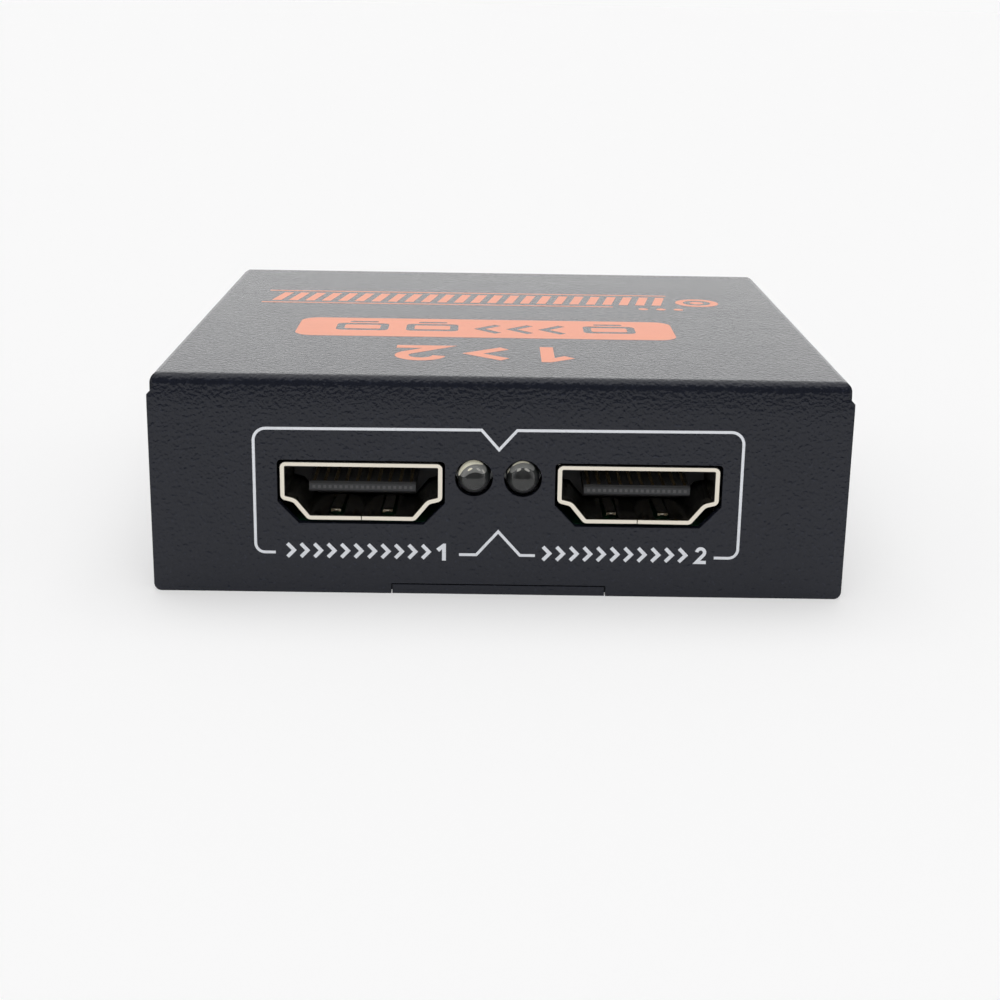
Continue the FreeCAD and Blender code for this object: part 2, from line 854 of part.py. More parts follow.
def add_springs(body, spacing, width, tip, crest, rise, tip_drop, outwards):
    """Cut two windows in the shell's floor or roof and leave a leaf in each."""
    surface = outwards * (S.shell_height / 2 - S.shell_wall)
    outside = outwards * (S.shell_height / 2 + PAST)
    inside = surface - outwards * PAST / 4
    low, high = (outside, inside) if outwards < 0 else (inside, outside)
    margin = S.spring_window_margin
    windows = []
    for side in (1, -1):
        x = side * spacing / 2
        half = width / 2 + margin
        windows.append(rectangle(x - half, x + half, tip - margin, S.insulator_front - margin))
    cut(body, "XY_Plane", low, high, windows)
    leaf = spring_outline(tip, crest, rise, tip_drop, surface, outwards)
    for side in (1, -1):
        x = side * spacing / 2
        pad(body, "YZ_Plane", x - width / 2, x + width / 2, [leaf])


def make_shell(name):
    """Rolled steel shell with its butt seam, springs and solder legs."""
    body = new_body(name + "_shell")
    pad(body, "XZ_Plane", 0, S.shell_length, [socket_outline(0)])
    along = edges_where(body, lambda edge: runs_along(edge, AXES["XZ_Plane"]))
    soften(body, "Fillet", along, S.shell_inner_radius + S.shell_wall)
    ends = [
        f"Face{index}"
        for index, face in enumerate(body.Tip.Shape.Faces, start=1)
        if abs(face.normalAt(0, 0).y) > 0.99
    ]
    solid = body.Tip
    wall = body.newObject("PartDesign::Thickness", name + "_shell_wall")
    wall.Base = (solid, ends)
    wall.Reversed = True
    wall.Mode = 0
    wall.Join = 0
    wall.setExpression("Value", S.shell_wall.formula)
    body.recompute(True)
    add_springs(
        body, S.floor_spring_spacing, S.floor_spring_width,
        S.floor_spring_tip, S.floor_spring_crest, S.floor_spring_rise, S.floor_spring_tip_drop, -1,
    )
    add_springs(
        body, S.roof_spring_spacing, S.roof_spring_width,
        S.roof_spring_tip, S.roof_spring_crest, S.roof_spring_rise, S.roof_spring_tip_drop, 1,
    )
    half_gap = S.shell_seam_gap / 2
    floor = -S.shell_height / 2
    seam = rectangle(-half_gap, half_gap, -PAST, S.shell_length + PAST)
    cut(body, "XY_Plane", floor - PAST, floor + S.shell_wall + PAST / 4, [seam])
    leg_bottom = BOARD_BOTTOM - S.leg_reach - SOCKET_HEIGHT
    leg_top = S.shell_height / 2 - S.shell_shoulder_drop + S.shell_wall * 2
    legs = [
        rectangle(place - S.shell_leg_width / 2, place + S.shell_leg_width / 2, leg_bottom, leg_top)
        for place in leg_places()
    ]
    for side in (1, -1):
        low, high = span(side, S.shell_width / 2 - S.shell_wall, S.shell_width / 2)
        pad(body, "YZ_Plane", low, high, legs)
    return body


def contact_rows():
    """Name, count, lowest and highest height of each row of contacts on the tongue."""
    half = S.tongue_thickness / 2
    return (
        ("upper", S.upper_contact_count, half - S.contact_thickness, half),
        ("lower", S.lower_contact_count, -half, S.contact_thickness - half),
    )


def insulator_end():
    return S.shell_length + S.insulator_tail


def make_insulator(name):
    """Moulding that plugs the shell's back and carries the contact tongue."""
    body = new_body(name + "_insulator")
    inset = S.shell_wall + S.insulator_fit
    pad(body, "XZ_Plane", S.insulator_front, S.shell_length + S.insulator_fit, [socket_outline(inset)])
    half = S.tongue_thickness / 2
    tip = S.tongue_recess
    bevel = S.tongue_chamfer
    tongue = [
        (tip, bevel - half),
        (tip + bevel, -half),
        (S.insulator_front + PAST, -half),
        (S.insulator_front + PAST, half),
        (tip + bevel, half),
        (tip, half - bevel),
    ]
    pad(body, "YZ_Plane", -S.tongue_width / 2, S.tongue_width / 2, [tongue])
    side = S.shell_width / 2 - inset
    foot = BOARD_TOP - SOCKET_HEIGHT
    tail = rectangle(-side, side, foot, S.shell_height / 2 - inset)
    pad(body, "XZ_Plane", S.shell_length + S.insulator_fit, insulator_end(), [tail])
    play = S.contact_play
    start = S.tongue_recess + S.contact_setback - play
    for row, count, low, high in contact_rows():
        run = S.contact_pitch * (count - 1)
        slot = centred(-run / 2, (low + high) / 2, S.contact_width + 2 * play, high - low + 2 * play)
        groove = cut(body, "XZ_Plane", start, insulator_end() + PAST, [slot])
        repeat(body, groove, "H_Axis", run, count)
    return body


def make_contacts(name, row, count, low, high):
    """One row of contacts: along the tongue, out at the back and down to a foot on the board."""
    body = new_body(f"{name}_{row}_contacts")
    start = S.tongue_recess + S.contact_setback
    back = insulator_end() + S.contact_play
    outer = back + S.contact_thickness
    foot = BOARD_TOP - SOCKET_HEIGHT
    toe = outer + S.contact_foot
    run = S.contact_pitch * (count - 1)
    profile = [
        (start, low),
        (back, low),
        (back, foot),
        (toe, foot),
        (toe, foot + S.contact_thickness),
        (outer, foot + S.contact_thickness),
        (outer, high),
        (start, high),
    ]
    left = -run / 2
    half = S.contact_width / 2
    first = pad(body, "YZ_Plane", left - half, left + half, [profile])
    repeat(body, first, "N_Axis", run, count)
    return body


def make_socket(name, x, mouth, turned):
    """All pieces of one socket at its place on the board."""
    pieces = [make_shell(name), make_insulator(name)]
    for row, count, low, high in contact_rows():
        pieces.append(make_contacts(name, row, count, low, high))
    for body in pieces:
        place_body(body, x, mouth, SOCKET_HEIGHT, turned)
    return pieces


# Indicator lamps, each drawn from the tip of its dome with Y going in


def lead_drop_place():
    """Place along the box at which the lamp leads turn down into the board."""
    return FRONT - S.lamp_reach + S.lamp_length + S.lead_run


def lead_outline(side, grow):
    """Flat lead with its wide frame inside the lens, seen from above."""
    centre = S.lead_spacing / 2
    outer = centre + S.lead_width / 2 + grow
    inner = centre - S.lead_width / 2 - grow
    shoulder = S.lamp_length - S.lead_shoulder_inset
    front = S.lead_frame_front - grow
    frame_width = S.cup_frame_width if side < 0 else S.post_frame_width
    frame_outer = S.lead_frame_reach + grow
    frame_inner = S.lead_frame_reach - frame_width - grow
    end = S.lamp_length + S.lead_run + S.lead_width / 2 + grow
    step = S.lead_shoulder_depth
    return [
        (side * outer, end),
        (side * outer, shoulder - grow),
        (side * frame_outer, shoulder - grow),
        (side * frame_outer, front),
        (side * frame_inner, front),
        (side * frame_inner, shoulder + step + grow),
        (side * inner, shoulder + step + grow),
        (side * inner, end),
    ]


def make_lamp(name, x):
    """Clear domed lens and the two leads that carry it."""
    lens = new_body(name + "_lens")
    radius = S.lamp_radius
    collar = S.lamp_length - S.lamp_collar_length
    half_section = [
        Arc(0, radius, radius, 270, 360),
        (radius, collar),
        (S.lamp_collar_radius, collar),
        (S.lamp_collar_radius, S.lamp_length),
        (0, S.lamp_length),
    ]
    sketch = put_sketch(lens, "XY_Plane", 0, [half_section])
    turned = lens.newObject("PartDesign::Revolution", name + "_lens_turn")
    turned.Profile = sketch
    turned.ReferenceAxis = (sketch, ["V_Axis"])
    turned.Angle = 360
    lens.recompute(True)
    half = S.lead_width / 2
    play = S.contact_play
    slots = [lead_outline(side, play) for side in (1, -1)]
    cut(lens, "XY_Plane", -half - play, half + play, slots)

    leads = new_body(name + "_leads")
    pad(leads, "XY_Plane", -half, half, [lead_outline(side, 0) for side in (1, -1)])
    bottom = BOARD_BOTTOM - S.leg_reach - S.lamp_height
    drop = S.lamp_length + S.lead_run
    posts = [centred(side * S.lead_spacing / 2, drop, S.lead_width, S.lead_width) for side in (1, -1)]
    pad(leads, "XY_Plane", bottom, half, posts)
    for body in (lens, leads):
        place_body(body, x, FRONT - S.lamp_reach, S.lamp_height)
    return [lens, leads]


# Power jack, drawn from the middle of its mouth with Y going in


def jack_terminals():
    """Centre across and along the jack, width and depth of each terminal at the board."""
    leaf_end = S.jack_bore_depth
    return (
        (as_size(0), S.jack_length + S.jack_leaf_thickness, S.jack_terminal_width, S.jack_leaf_thickness),
        (as_size(0), leaf_end, S.jack_leaf_width, S.jack_leaf_thickness),
        (S.jack_width / 2 - S.jack_leaf_thickness * 2, S.jack_length / 2,
         S.jack_leaf_thickness, S.jack_terminal_width),
    )


def make_jack():
    """Moulded housing with its bore, centre pin, sleeve spring and break contact."""
    floor = -S.jack_axis_height
    half = S.jack_width / 2
    bottom = BOARD_BOTTOM - S.leg_reach - JACK_HEIGHT
    play = S.contact_play

    housing = new_body("power_jack_housing")
    block = [
        (-half, floor),
        (half, floor),
        Arc(0, 0, half, 0, 180),
    ]
    pad(housing, "XZ_Plane", 0, S.jack_length, [block])
    cut(housing, "XZ_Plane", -PAST, S.jack_bore_depth, [Circle(0, 0, S.jack_bore_radius)])
    rim = edges_where(
        housing,
        lambda edge: isinstance(edge.Curve, Part.Circle) and near(edge, y=0)
        and abs(edge.Curve.Radius - S.jack_bore_radius.value) < 1e-4,
    )
    soften(housing, "Chamfer", rim, S.jack_leaf_thickness)
    pin_hole = Circle(0, 0, S.jack_pin_radius + play)
    cut(housing, "XZ_Plane", S.jack_bore_depth - PAST, S.jack_length + PAST, [pin_hole])
    slot_half = S.jack_leaf_width / 2 + play
    slot_front = S.jack_slot_front
    slot_back = S.jack_bore_depth + S.jack_leaf_thickness
    slot = rectangle(-slot_half, slot_half, slot_front, slot_back)
    cut(housing, "XY_Plane", floor - PAST, PAST - S.jack_bore_radius, [slot])
    side_x, side_y, side_thickness, side_width = jack_terminals()[-1]
    side_slot = rectangle(
        side_x - side_thickness / 2 - play, half + PAST,
        side_y - side_width / 2 - play, side_y + side_width / 2 + play,
    )
    cut(housing, "XY_Plane", floor - PAST, 0, [side_slot])

    pin = new_body("power_jack_pin")
    tip = S.jack_pin_recess
    back = S.jack_length + S.jack_leaf_thickness / 2
    pad(pin, "XZ_Plane", tip, back + S.jack_leaf_thickness / 2, [Circle(0, 0, S.jack_pin_radius)])
    nose = edges_where(pin, lambda edge: isinstance(edge.Curve, Part.Circle) and near(edge, y=tip))
    soften(pin, "Chamfer", nose, S.jack_pin_radius / 2)
    width = S.jack_terminal_width / 2
    strip = rectangle(-width, width, bottom, width)
    pad(pin, "XZ_Plane", back, back + S.jack_leaf_thickness, [strip])

    spring = new_body("power_jack_sleeve_spring")
    thickness = S.jack_leaf_thickness
    rest = -S.jack_bore_radius - thickness * 2
    crest = -S.jack_bore_radius + S.jack_leaf_rise
    root = S.jack_bore_depth
    leaf = [
        (slot_front + thickness, rest),
        (S.jack_bore_depth / 2, crest - thickness),
        (root - thickness / 2, rest),
        (root - thickness / 2, bottom),
        (root + thickness / 2, bottom),
        (root + thickness / 2, rest + thickness),
        (root - thickness, rest + thickness),
        (S.jack_bore_depth / 2, crest),
        (slot_front + thickness, rest + thickness),
    ]
    pad(spring, "YZ_Plane", -S.jack_leaf_width / 2, S.jack_leaf_width / 2, [leaf])

    shunt = new_body("power_jack_break_contact")
    strip = rectangle(side_y - side_width / 2, side_y + side_width / 2, bottom, -thickness)
    pad(shunt, "YZ_Plane", side_x - side_thickness / 2, side_x + side_thickness / 2, [strip])

    pieces = [housing, pin, spring, shunt]
    for body in pieces:
        place_body(body, S.jack_place, JACK_MOUTH, JACK_HEIGHT, turned=True)
    return pieces


# Chips and small parts, each drawn about the centre of its own footprint on the board


def leg_outline(body_face, height, direction):
    """Side view of a chip leg that slopes from the body down to its foot on the board."""
    thickness = S.chip_leg_thickness
    exit_height = height / 2
    knee = body_face + S.chip_leg_slope
    toe = body_face + S.chip_leg_reach
    return [
        (direction * body_face, exit_height),
        (direction * knee, 0),
        (direction * toe, 0),
        (direction * toe, thickness),
        (direction * (knee + thickness), thickness),
        (direction * body_face, exit_height + thickness),
    ]


def add_leg_row(body, role, face, height, direction, count, pitch):
    """One row of legs along a side of a chip."""
    run = pitch * (count - 1)
    left = -run / 2
    half = S.chip_leg_width / 2
    first = pad(body, role, left - half, left + half, [leg_outline(face, height, direction)])
    pattern = repeat(body, first, "N_Axis", run, count)
    if role == "XZ_Plane":
        pattern.Reversed = True
        body.recompute(True)


def make_chip(name, x, y, width, depth, height, count, pitch, four_sided):
    """Moulded chip body and, as a second piece, its legs."""
    body = new_body(name)
    lift = S.chip_leg_thickness
    pad(body, "XY_Plane", lift, lift + height, [centred(as_size(0), as_size(0), width, depth)])
    rim = edges_where(body, lambda edge: near(edge, z=lift + height))
    soften(body, "Chamfer", rim, S.chip_bevel)
    legs = new_body(name + "_legs")
    for direction in (1, -1):
        add_leg_row(legs, "YZ_Plane", depth / 2, height, direction, count, pitch)
        if four_sided:
            add_leg_row(legs, "XZ_Plane", width / 2, height, direction, count, pitch)
    for piece in (body, legs):
        place_body(piece, x, y, BOARD_TOP)
    return [body, legs]


def make_regulator(x, y):
    """Voltage regulator with three leads in front and a wide tab behind."""
    body = new_body("voltage_regulator")
    lift = S.chip_leg_thickness
    block = centred(as_size(0), as_size(0), S.regulator_width, S.regulator_depth)
    pad(body, "XY_Plane", lift, lift + S.regulator_height, [block])
    rim = edges_where(body, lambda edge: near(edge, z=lift + S.regulator_height))
    soften(body, "Chamfer", rim, S.chip_bevel)
    leads = new_body("voltage_regulator_leads")
    half = S.regulator_lead_width / 2
    face = S.regulator_depth / 2
    front = leg_outline(face, S.regulator_height, -1)
    for place in (-S.regulator_lead_pitch, as_size(0), S.regulator_lead_pitch):
        pad(leads, "YZ_Plane", place - half, place + half, [front])
    tab = leg_outline(face, S.regulator_height, 1)
    pad(leads, "YZ_Plane", -S.regulator_tab_width / 2, S.regulator_tab_width / 2, [tab])
    for piece in (body, leads):
        place_body(piece, x, y, BOARD_TOP)
    return [body, leads]


def make_inductor(x, y):
    """Shielded power inductor with cut-off corners."""
    body = new_body("power_inductor")
    block = centred(as_size(0), as_size(0), S.inductor_width, S.inductor_width)
    pad(body, "XY_Plane", 0, S.inductor_height, [block])
    uprights = edges_where(body, lambda edge: runs_along(edge, AXES["XY_Plane"]))
    soften(body, "Chamfer", uprights, S.inductor_corner)
    place_body(body, x, y, BOARD_TOP)
    return body


def make_crystal(x, y):
    """Quartz crystal: an oval can on a moulded base."""
    can = new_body("crystal_can")
    base = new_body("crystal_base")
    end = S.crystal_width / 2
    reach = S.crystal_length / 2 - end
    oval = [Arc(reach, 0, end, -90, 90), Arc(-reach, 0, end, 90, 270)]
    pad(can, "XY_Plane", S.crystal_base_height, S.crystal_height, [oval])
    plate = centred(as_size(0), as_size(0), S.crystal_length, S.crystal_width)
    pad(base, "XY_Plane", 0, S.crystal_base_height, [plate])
    for piece in (can, base):
        place_body(piece, x, y, BOARD_TOP)
    return [can, base]


def make_storage_capacitors(places):
    """Round aluminium cans on moulded bases that have two corners cut off to mark the poles."""
    cans = new_body("storage_capacitors")
    bases = new_body("storage_capacitor_bases")
    base_top = BOARD_TOP + S.can_base_height
    can_top = base_top + S.can_height
    pad(cans, "XY_Plane", base_top, can_top, [Circle(x, y, S.can_radius) for x, y in places])
    half = S.can_base_width / 2
    cut_off = half - S.can_base_corner
    plates = [
        [
            (x - half, y - half), (x + cut_off, y - half), (x + half, y - cut_off),
            (x + half, y + cut_off), (x + cut_off, y + half), (x - half, y + half),
        ]
        for x, y in places
    ]
    pad(bases, "XY_Plane", BOARD_TOP, base_top, plates)
    return [cans, bases]


def make_blocks(name, rows, length, width, height):
    """Small block-shaped parts of one kind, as separate solids laid out in evenly spaced rows."""
    body = new_body(name)
    for x, y, upright, count, pitch in rows:
        block = centred(x, y, width, length) if upright else centred(x, y, length, width)
        first = pad(body, "XY_Plane", BOARD_TOP, BOARD_TOP + height, [block])
        if as_size(count).value > 1:
            repeat(body, first, "H_Axis" if upright else "V_Axis", pitch * (count - 1), count)
    return body


# A row has the centre of its first part, whether that stands upright in the plan, the number of
# parts and their pitch
FUSE_ROWS = [(S.fuse_x, S.fuse_y, False, 1, 0)]
DIODE_ROWS = [(S.diode_x, S.diode_y, True, 1, 0)]
SURGE_ARRAY_ROWS = [
    (place + along, y, False, 1, 0)
    for place, y in (
        (OUTPUT_PLACES[0], -S.surge_array_y),
        (OUTPUT_PLACES[1], -S.surge_array_y),
        (S.input_place, S.surge_array_y),
    )
    for along in (-S.surge_array_spacing / 2, S.surge_array_spacing / 2)
]
RESISTOR_ROWS = [
    (x, S.resistor_y, False, S.resistor_rows, S.resistor_row_pitch)
    for x in (
        S.resistor_x + S.resistor_column_pitch * column
        for column in range(SIZES["resistor_columns"])
    )
]


def rows_round(x, y, reach, count, pitch):
    """Four rows of parts round a chip, one along each of its sides."""
    start = -pitch * (count - 1) / 2
    rows = []
    for side in (1, -1):
        rows.append((x + start, y + side * reach, True, count, pitch))
        rows.append((x + side * reach, y + start, False, count, pitch))
    return rows


def make_board_parts():
    """Everything that is soldered to the top of the board between the sockets."""
    make_chip(
        "splitter_chip", S.splitter_chip_x, S.splitter_chip_y, S.splitter_chip_width, S.splitter_chip_width,
        S.splitter_chip_height, S.splitter_leg_count, S.splitter_leg_pitch, True,
    )
    make_chip(
        "control_chip", S.control_chip_x, S.control_chip_y, S.control_chip_width, S.control_chip_depth,
        S.control_chip_height, S.control_leg_count, S.control_leg_pitch, False,
    )
    make_chip(
        "memory_chip", S.memory_chip_x, S.memory_chip_y, S.memory_chip_width, S.memory_chip_depth,
        S.memory_chip_height, S.memory_leg_count, S.memory_leg_pitch, False,
    )
    make_regulator(S.regulator_x, S.regulator_y)
    make_inductor(S.inductor_x, S.inductor_y)
    make_crystal(S.crystal_x, S.crystal_y)
    make_storage_capacitors([(S.output_can_x, S.output_can_y), (S.input_can_x, S.input_can_y)])
    reach = S.splitter_chip_width / 2 + S.chip_leg_reach + S.ceramic_length + S.ceramic_gap
    ceramics = rows_round(S.splitter_chip_x, S.splitter_chip_y, reach, S.ceramics_per_side, S.ceramic_pitch)
    make_blocks("ceramic_capacitors", ceramics, S.ceramic_length, S.ceramic_width, S.ceramic_height)
    make_blocks("resistors", RESISTOR_ROWS, S.resistor_length, S.resistor_width, S.resistor_height)
    make_blocks(
        "surge_arrays", SURGE_ARRAY_ROWS,
        S.surge_array_length, S.surge_array_width, S.surge_array_height,
    )
    make_blocks("input_fuse", FUSE_ROWS, S.fuse_length, S.fuse_width, S.fuse_height)
    make_blocks("protection_diode", DIODE_ROWS, S.diode_length, S.diode_width, S.diode_height)


make_cover()
make_base_plate()
make_cover_screws()
make_board_standoffs()
make_board_screws()
make_circuit_board()
for number, place in enumerate(OUTPUT_PLACES, start=1):
    make_socket(f"output_{number}", place, MOUTH, False)
make_socket("input", S.input_place, -MOUTH, True)
for number, place in enumerate(LAMP_PLACES, start=1):
    make_lamp(f"lamp_{number}", place)
make_jack()
make_board_parts()
doc.recompute()

# Check every object, then write one file for each piece
for item in doc.Objects:
    if "Invalid" in item.State or "Error" in item.State:
        raise RuntimeError(f"{item.Label} failed to build")
bodies = [item for item in doc.Objects if item.TypeId == "PartDesign::Body"]
for body in bodies:
    if body.Shape.isNull() or not body.Shape.isValid():
        raise RuntimeError(f"{body.Label} has no valid shape")
os.makedirs("parts", exist_ok=True)
for body in bodies:
    body.Shape.exportStep(f"parts/{body.Label}.step")
print(f"{len(bodies)} pieces written")
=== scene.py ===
import json
import math
from functools import cache, partial

import bmesh
import bpy
import numpy as np
from bpy.props import FloatProperty, FloatVectorProperty, IntProperty, PointerProperty
from mathutils import Matrix, Vector


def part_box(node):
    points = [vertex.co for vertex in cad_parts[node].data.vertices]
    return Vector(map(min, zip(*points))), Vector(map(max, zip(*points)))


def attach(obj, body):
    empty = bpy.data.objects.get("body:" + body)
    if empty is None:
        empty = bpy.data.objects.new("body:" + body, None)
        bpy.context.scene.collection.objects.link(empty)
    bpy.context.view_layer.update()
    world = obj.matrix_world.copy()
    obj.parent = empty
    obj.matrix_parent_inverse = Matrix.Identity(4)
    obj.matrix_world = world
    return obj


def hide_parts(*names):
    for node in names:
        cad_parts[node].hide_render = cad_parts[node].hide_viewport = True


bl_info = {
    "name": "Video splitter box",
    "version": (1, 0, 0),
    "blender": (4, 5, 0),
    "location": "View3D > Sidebar > Splitter",
    "description": "Finishes, prints, lamps and fasteners of a small sheet-metal video splitter",
    "category": "Add Mesh",
}

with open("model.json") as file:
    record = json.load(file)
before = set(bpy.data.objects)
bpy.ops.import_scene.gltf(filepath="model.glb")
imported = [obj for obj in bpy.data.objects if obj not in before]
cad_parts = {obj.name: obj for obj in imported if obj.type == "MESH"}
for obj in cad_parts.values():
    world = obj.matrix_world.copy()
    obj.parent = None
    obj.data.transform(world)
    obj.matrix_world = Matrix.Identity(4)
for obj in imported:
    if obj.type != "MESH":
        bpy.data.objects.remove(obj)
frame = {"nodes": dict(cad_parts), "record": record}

MM = 0.001
BODY = "root"
SOCKETS = ("output_1", "output_2", "input")
LAMPS = ("lamp_1", "lamp_2")

# The cover's outer faces, in metres
COVER_LOW, COVER_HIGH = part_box("cover")
FRONT_FACE = COVER_LOW.y
TOP_FACE = COVER_HIGH.z

# Points of a new mesh that lie closer than this are one point
SAME_POINT = 1e-7


# Mesh helpers


def link(piece):
    """Put a new object in the scene."""
    bpy.context.scene.collection.objects.link(piece)
    return piece


def finish_piece(piece, material, slot, *nodes):
    """Give a piece its material, let it ride on the box and hide the nodes that it stands for."""
    piece.data.materials.clear()
    piece.data.materials.append(material)
    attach(piece, BODY)
    if nodes:
        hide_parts(*nodes)
    return piece


def mesh_piece(name, points, quads):
    """Object with a new mesh of points (..., 3) and quads (..., 4)."""
    mesh = bpy.data.meshes.new(name)
    mesh.from_pydata(points.reshape(-1, 3).tolist(), [], quads.reshape(-1, 4).tolist())
    mesh.validate()
    return link(bpy.data.objects.new(name, mesh))


def grid_piece(name, points, wrap_rows=False, wrap_columns=False):
    """Mesh of a grid of points (rows, columns, 3): each cell is a quad between neighbouring rows
    and columns, and a wrapped direction joins its last line to its first."""
    rows, columns = points.shape[:2]
    number = np.arange(rows * columns).reshape(rows, columns)
    if wrap_rows:
        number = np.vstack([number, number[:1]])
    if wrap_columns:
        number = np.hstack([number, number[:, :1]])
    quads = [number[:-1, :-1], number[1:, :-1], number[1:, 1:], number[:-1, 1:]]
    return mesh_piece(name, points, np.stack(quads, axis=-1))


def clean_mesh(piece):
    """Merge doubled points, drop faces without area and turn all faces outwards."""
    work = bmesh.new()
    work.from_mesh(piece.data)
    bmesh.ops.remove_doubles(work, verts=work.verts, dist=SAME_POINT)
    bmesh.ops.dissolve_degenerate(work, dist=SAME_POINT, edges=work.edges)
    bmesh.ops.recalc_face_normals(work, faces=work.faces)
    work.to_mesh(piece.data)
    work.free()
    return piece


def smooth_faces(mesh):
    """Smooth shading on every face."""
    mesh.polygons.foreach_set("use_smooth", np.ones(len(mesh.polygons), dtype=bool))


def shade_smooth(piece, degrees):
    """Smooth shading, with a crease where faces meet at more than the angle."""
    smooth_faces(piece.data)
    piece.data.set_sharp_from_angle(angle=math.radians(degrees))
    piece.data.update()


def lathe(name, profile, steps):
    """Surface of revolution about the Y axis: point (r, y) of the profile goes to
    (r cos a, y, r sin a) for angles a all the way round."""
    turn = np.linspace(0, 2 * math.pi, steps, endpoint=False)[:, None]
    radius = profile[None, :, 0]
    along = np.broadcast_to(profile[None, :, 1], (steps, len(profile)))
    points = np.stack([radius * np.cos(turn), along, radius * np.sin(turn)], axis=-1)
    return clean_mesh(grid_piece(name, points, wrap_rows=True))


# Facets of a CAD mesh closer to one plane than FLAT are joined, and edges over SHARP are rolled
CAD_GAP = 1e-6
FLAT = math.radians(0.5)
SHARP = math.radians(34)
INNER_RIM_SHARE = 0.25


def rolled_copy(node, width, segments, rim=None):
    """Copy of a CAD node whose flat facets are joined and whose sharp edges are rolled over. With a
    rim only the edges in the plane y = rim are: on the outer outline by the whole width, on the
    inner by a quarter."""
    mesh = frame["nodes"][node].data.copy()
    piece = link(bpy.data.objects.new(node + "_finished", mesh))
    work = bmesh.new()
    work.from_mesh(mesh)
    bmesh.ops.remove_doubles(work, verts=work.verts, dist=CAD_GAP)
    bmesh.ops.dissolve_limit(work, angle_limit=FLAT, verts=work.verts, edges=work.edges)
    weight = work.edges.layers.float.new("bevel_weight_edge")
    low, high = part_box(node)
    centre = (Vector(low) + Vector(high)) / 2
    in_plane = 0.01 * MM
    for edge in work.edges:
        if len(edge.link_faces) != 2 or edge.calc_face_angle() < SHARP:
            continue
        if rim is None:
            edge[weight] = 1.0
        elif all(abs(vert.co.y - rim) < in_plane for vert in edge.verts):
            side = min(edge.link_faces, key=lambda face: abs(face.normal.y))
            outward = side.normal.dot(edge.verts[0].co - centre) > 0
            edge[weight] = 1.0 if outward else INNER_RIM_SHARE
    work.to_mesh(mesh)
    work.free()
    mesh.materials.clear()
    smooth_faces(mesh)
    roll = piece.modifiers.new("roll", "BEVEL")
    roll.width = width
    roll.segments = segments
    roll.limit_method = "WEIGHT"
    roll.use_clamp_overlap = rim is None
    level = piece.modifiers.new("level", "WEIGHTED_NORMAL")
    level.keep_sharp = True
    return piece


def ease_folds(piece, bend, reach, lean):
    """Let the front and back panels lean in towards their upper folds, as pressed sheet does: a
    point at height z moves inwards by lean times the square of its share of the stretch under the
    fold, 0 at its foot and 1 at the fold, and what is above moves by the whole lean."""
    foot = TOP_FACE - bend - reach
    cuts = 6
    work = bmesh.new()
    work.from_mesh(piece.data)
    for level in np.linspace(foot, foot + reach, cuts):
        bmesh.ops.bisect_plane(
            work, geom=work.verts[:] + work.edges[:] + work.faces[:], dist=SAME_POINT,
            plane_co=(0, 0, level), plane_no=(0, 0, 1),
        )
    work.to_mesh(piece.data)
    work.free()
    count = len(piece.data.vertices)
    points = np.empty(count * 3, dtype=np.float32)
    piece.data.vertices.foreach_get("co", points)
    points = points.reshape(count, 3)
    share = np.clip((points[:, 2] - foot) / reach, 0, 1)
    points[:, 1] -= np.sign(points[:, 1]) * lean * share**2
    piece.data.vertices.foreach_set("co", points.ravel())
    piece.data.update()


# Flat outlines for prints, worked out in the plane of the face


def arc(centre, radius, start, end, count=9):
    """Points along a circle's arc: centre plus radius times (cos a, sin a), a from start to end."""
    angle = np.radians(np.linspace(start, end, count))
    return np.array(centre) + radius * np.stack([np.cos(angle), np.sin(angle)], axis=1)


def rounded_box(low, high, radius):
    """Closed outline of a rectangle whose corners are quarter circles."""
    (x0, y0), (x1, y1) = low, high
    corners = ((x1, y1, 0), (x0, y1, 90), (x0, y0, 180), (x1, y0, 270))
    inset = ((-1, -1), (1, -1), (1, 1), (-1, 1))
    return np.vstack([
        arc((x + dx * radius, y + dy * radius), radius, start, start + 90)
        for (x, y, start), (dx, dy) in zip(corners, inset)
    ])


def ribbon(path, width):
    """Closed outline of a line of even width along an open path. Each point moves to both sides
    along the mean of its stretches' normals, by half the width over the cosine of half the turn."""
    path = np.asarray(path, float)
    steps = np.diff(path, axis=0)
    steps /= np.linalg.norm(steps, axis=1, keepdims=True)
    normals = np.stack([-steps[:, 1], steps[:, 0]], axis=1)
    before = np.vstack([normals[:1], normals])
    after = np.vstack([normals, normals[-1:]])
    mean = before + after
    mean /= np.linalg.norm(mean, axis=1, keepdims=True)
    reach = mean * (width / 2 / np.sum(mean * before, axis=1))[:, None]
    return np.vstack([path + reach, (path - reach)[::-1]])


def moved(outline, x, y, turned=False):
    """Outline moved to a place in the plane, and turned half round where it reads from behind."""
    return np.asarray(outline) * (-1 if turned else 1) + np.array([x, y])


def figure_one(height, stroke):
    """Outline of a plain figure 1 about its own middle."""
    half = stroke / 2
    top = height / 2
    flag = stroke * 1.5
    return np.array([
        (-half, -top), (half, -top), (half, top), (-half * 0.4, top),
        (-half - flag, top - flag * 0.95), (-half - flag * 0.5, top - flag * 1.5),
        (-half, top - flag),
    ])


def figure_two(height, width, stroke):
    """Outline of a plain figure 2 about its own middle: an arc, a slope and a foot."""
    radius = (width - stroke) / 2
    middle = height / 2 - stroke / 2 - radius
    bottom = stroke / 2 - height / 2
    path = np.vstack([
        arc((0, middle), radius, 175, -38, 13),
        [(-radius, bottom), (radius + stroke / 2, bottom)],
    ])
    return ribbon(path, stroke)


def chevron(height, depth, stroke):
    """Outline of an arrowhead line that points along +x, about its own middle."""
    return ribbon([(-depth / 2, height / 2), (depth / 2, 0), (-depth / 2, -height / 2)], stroke)


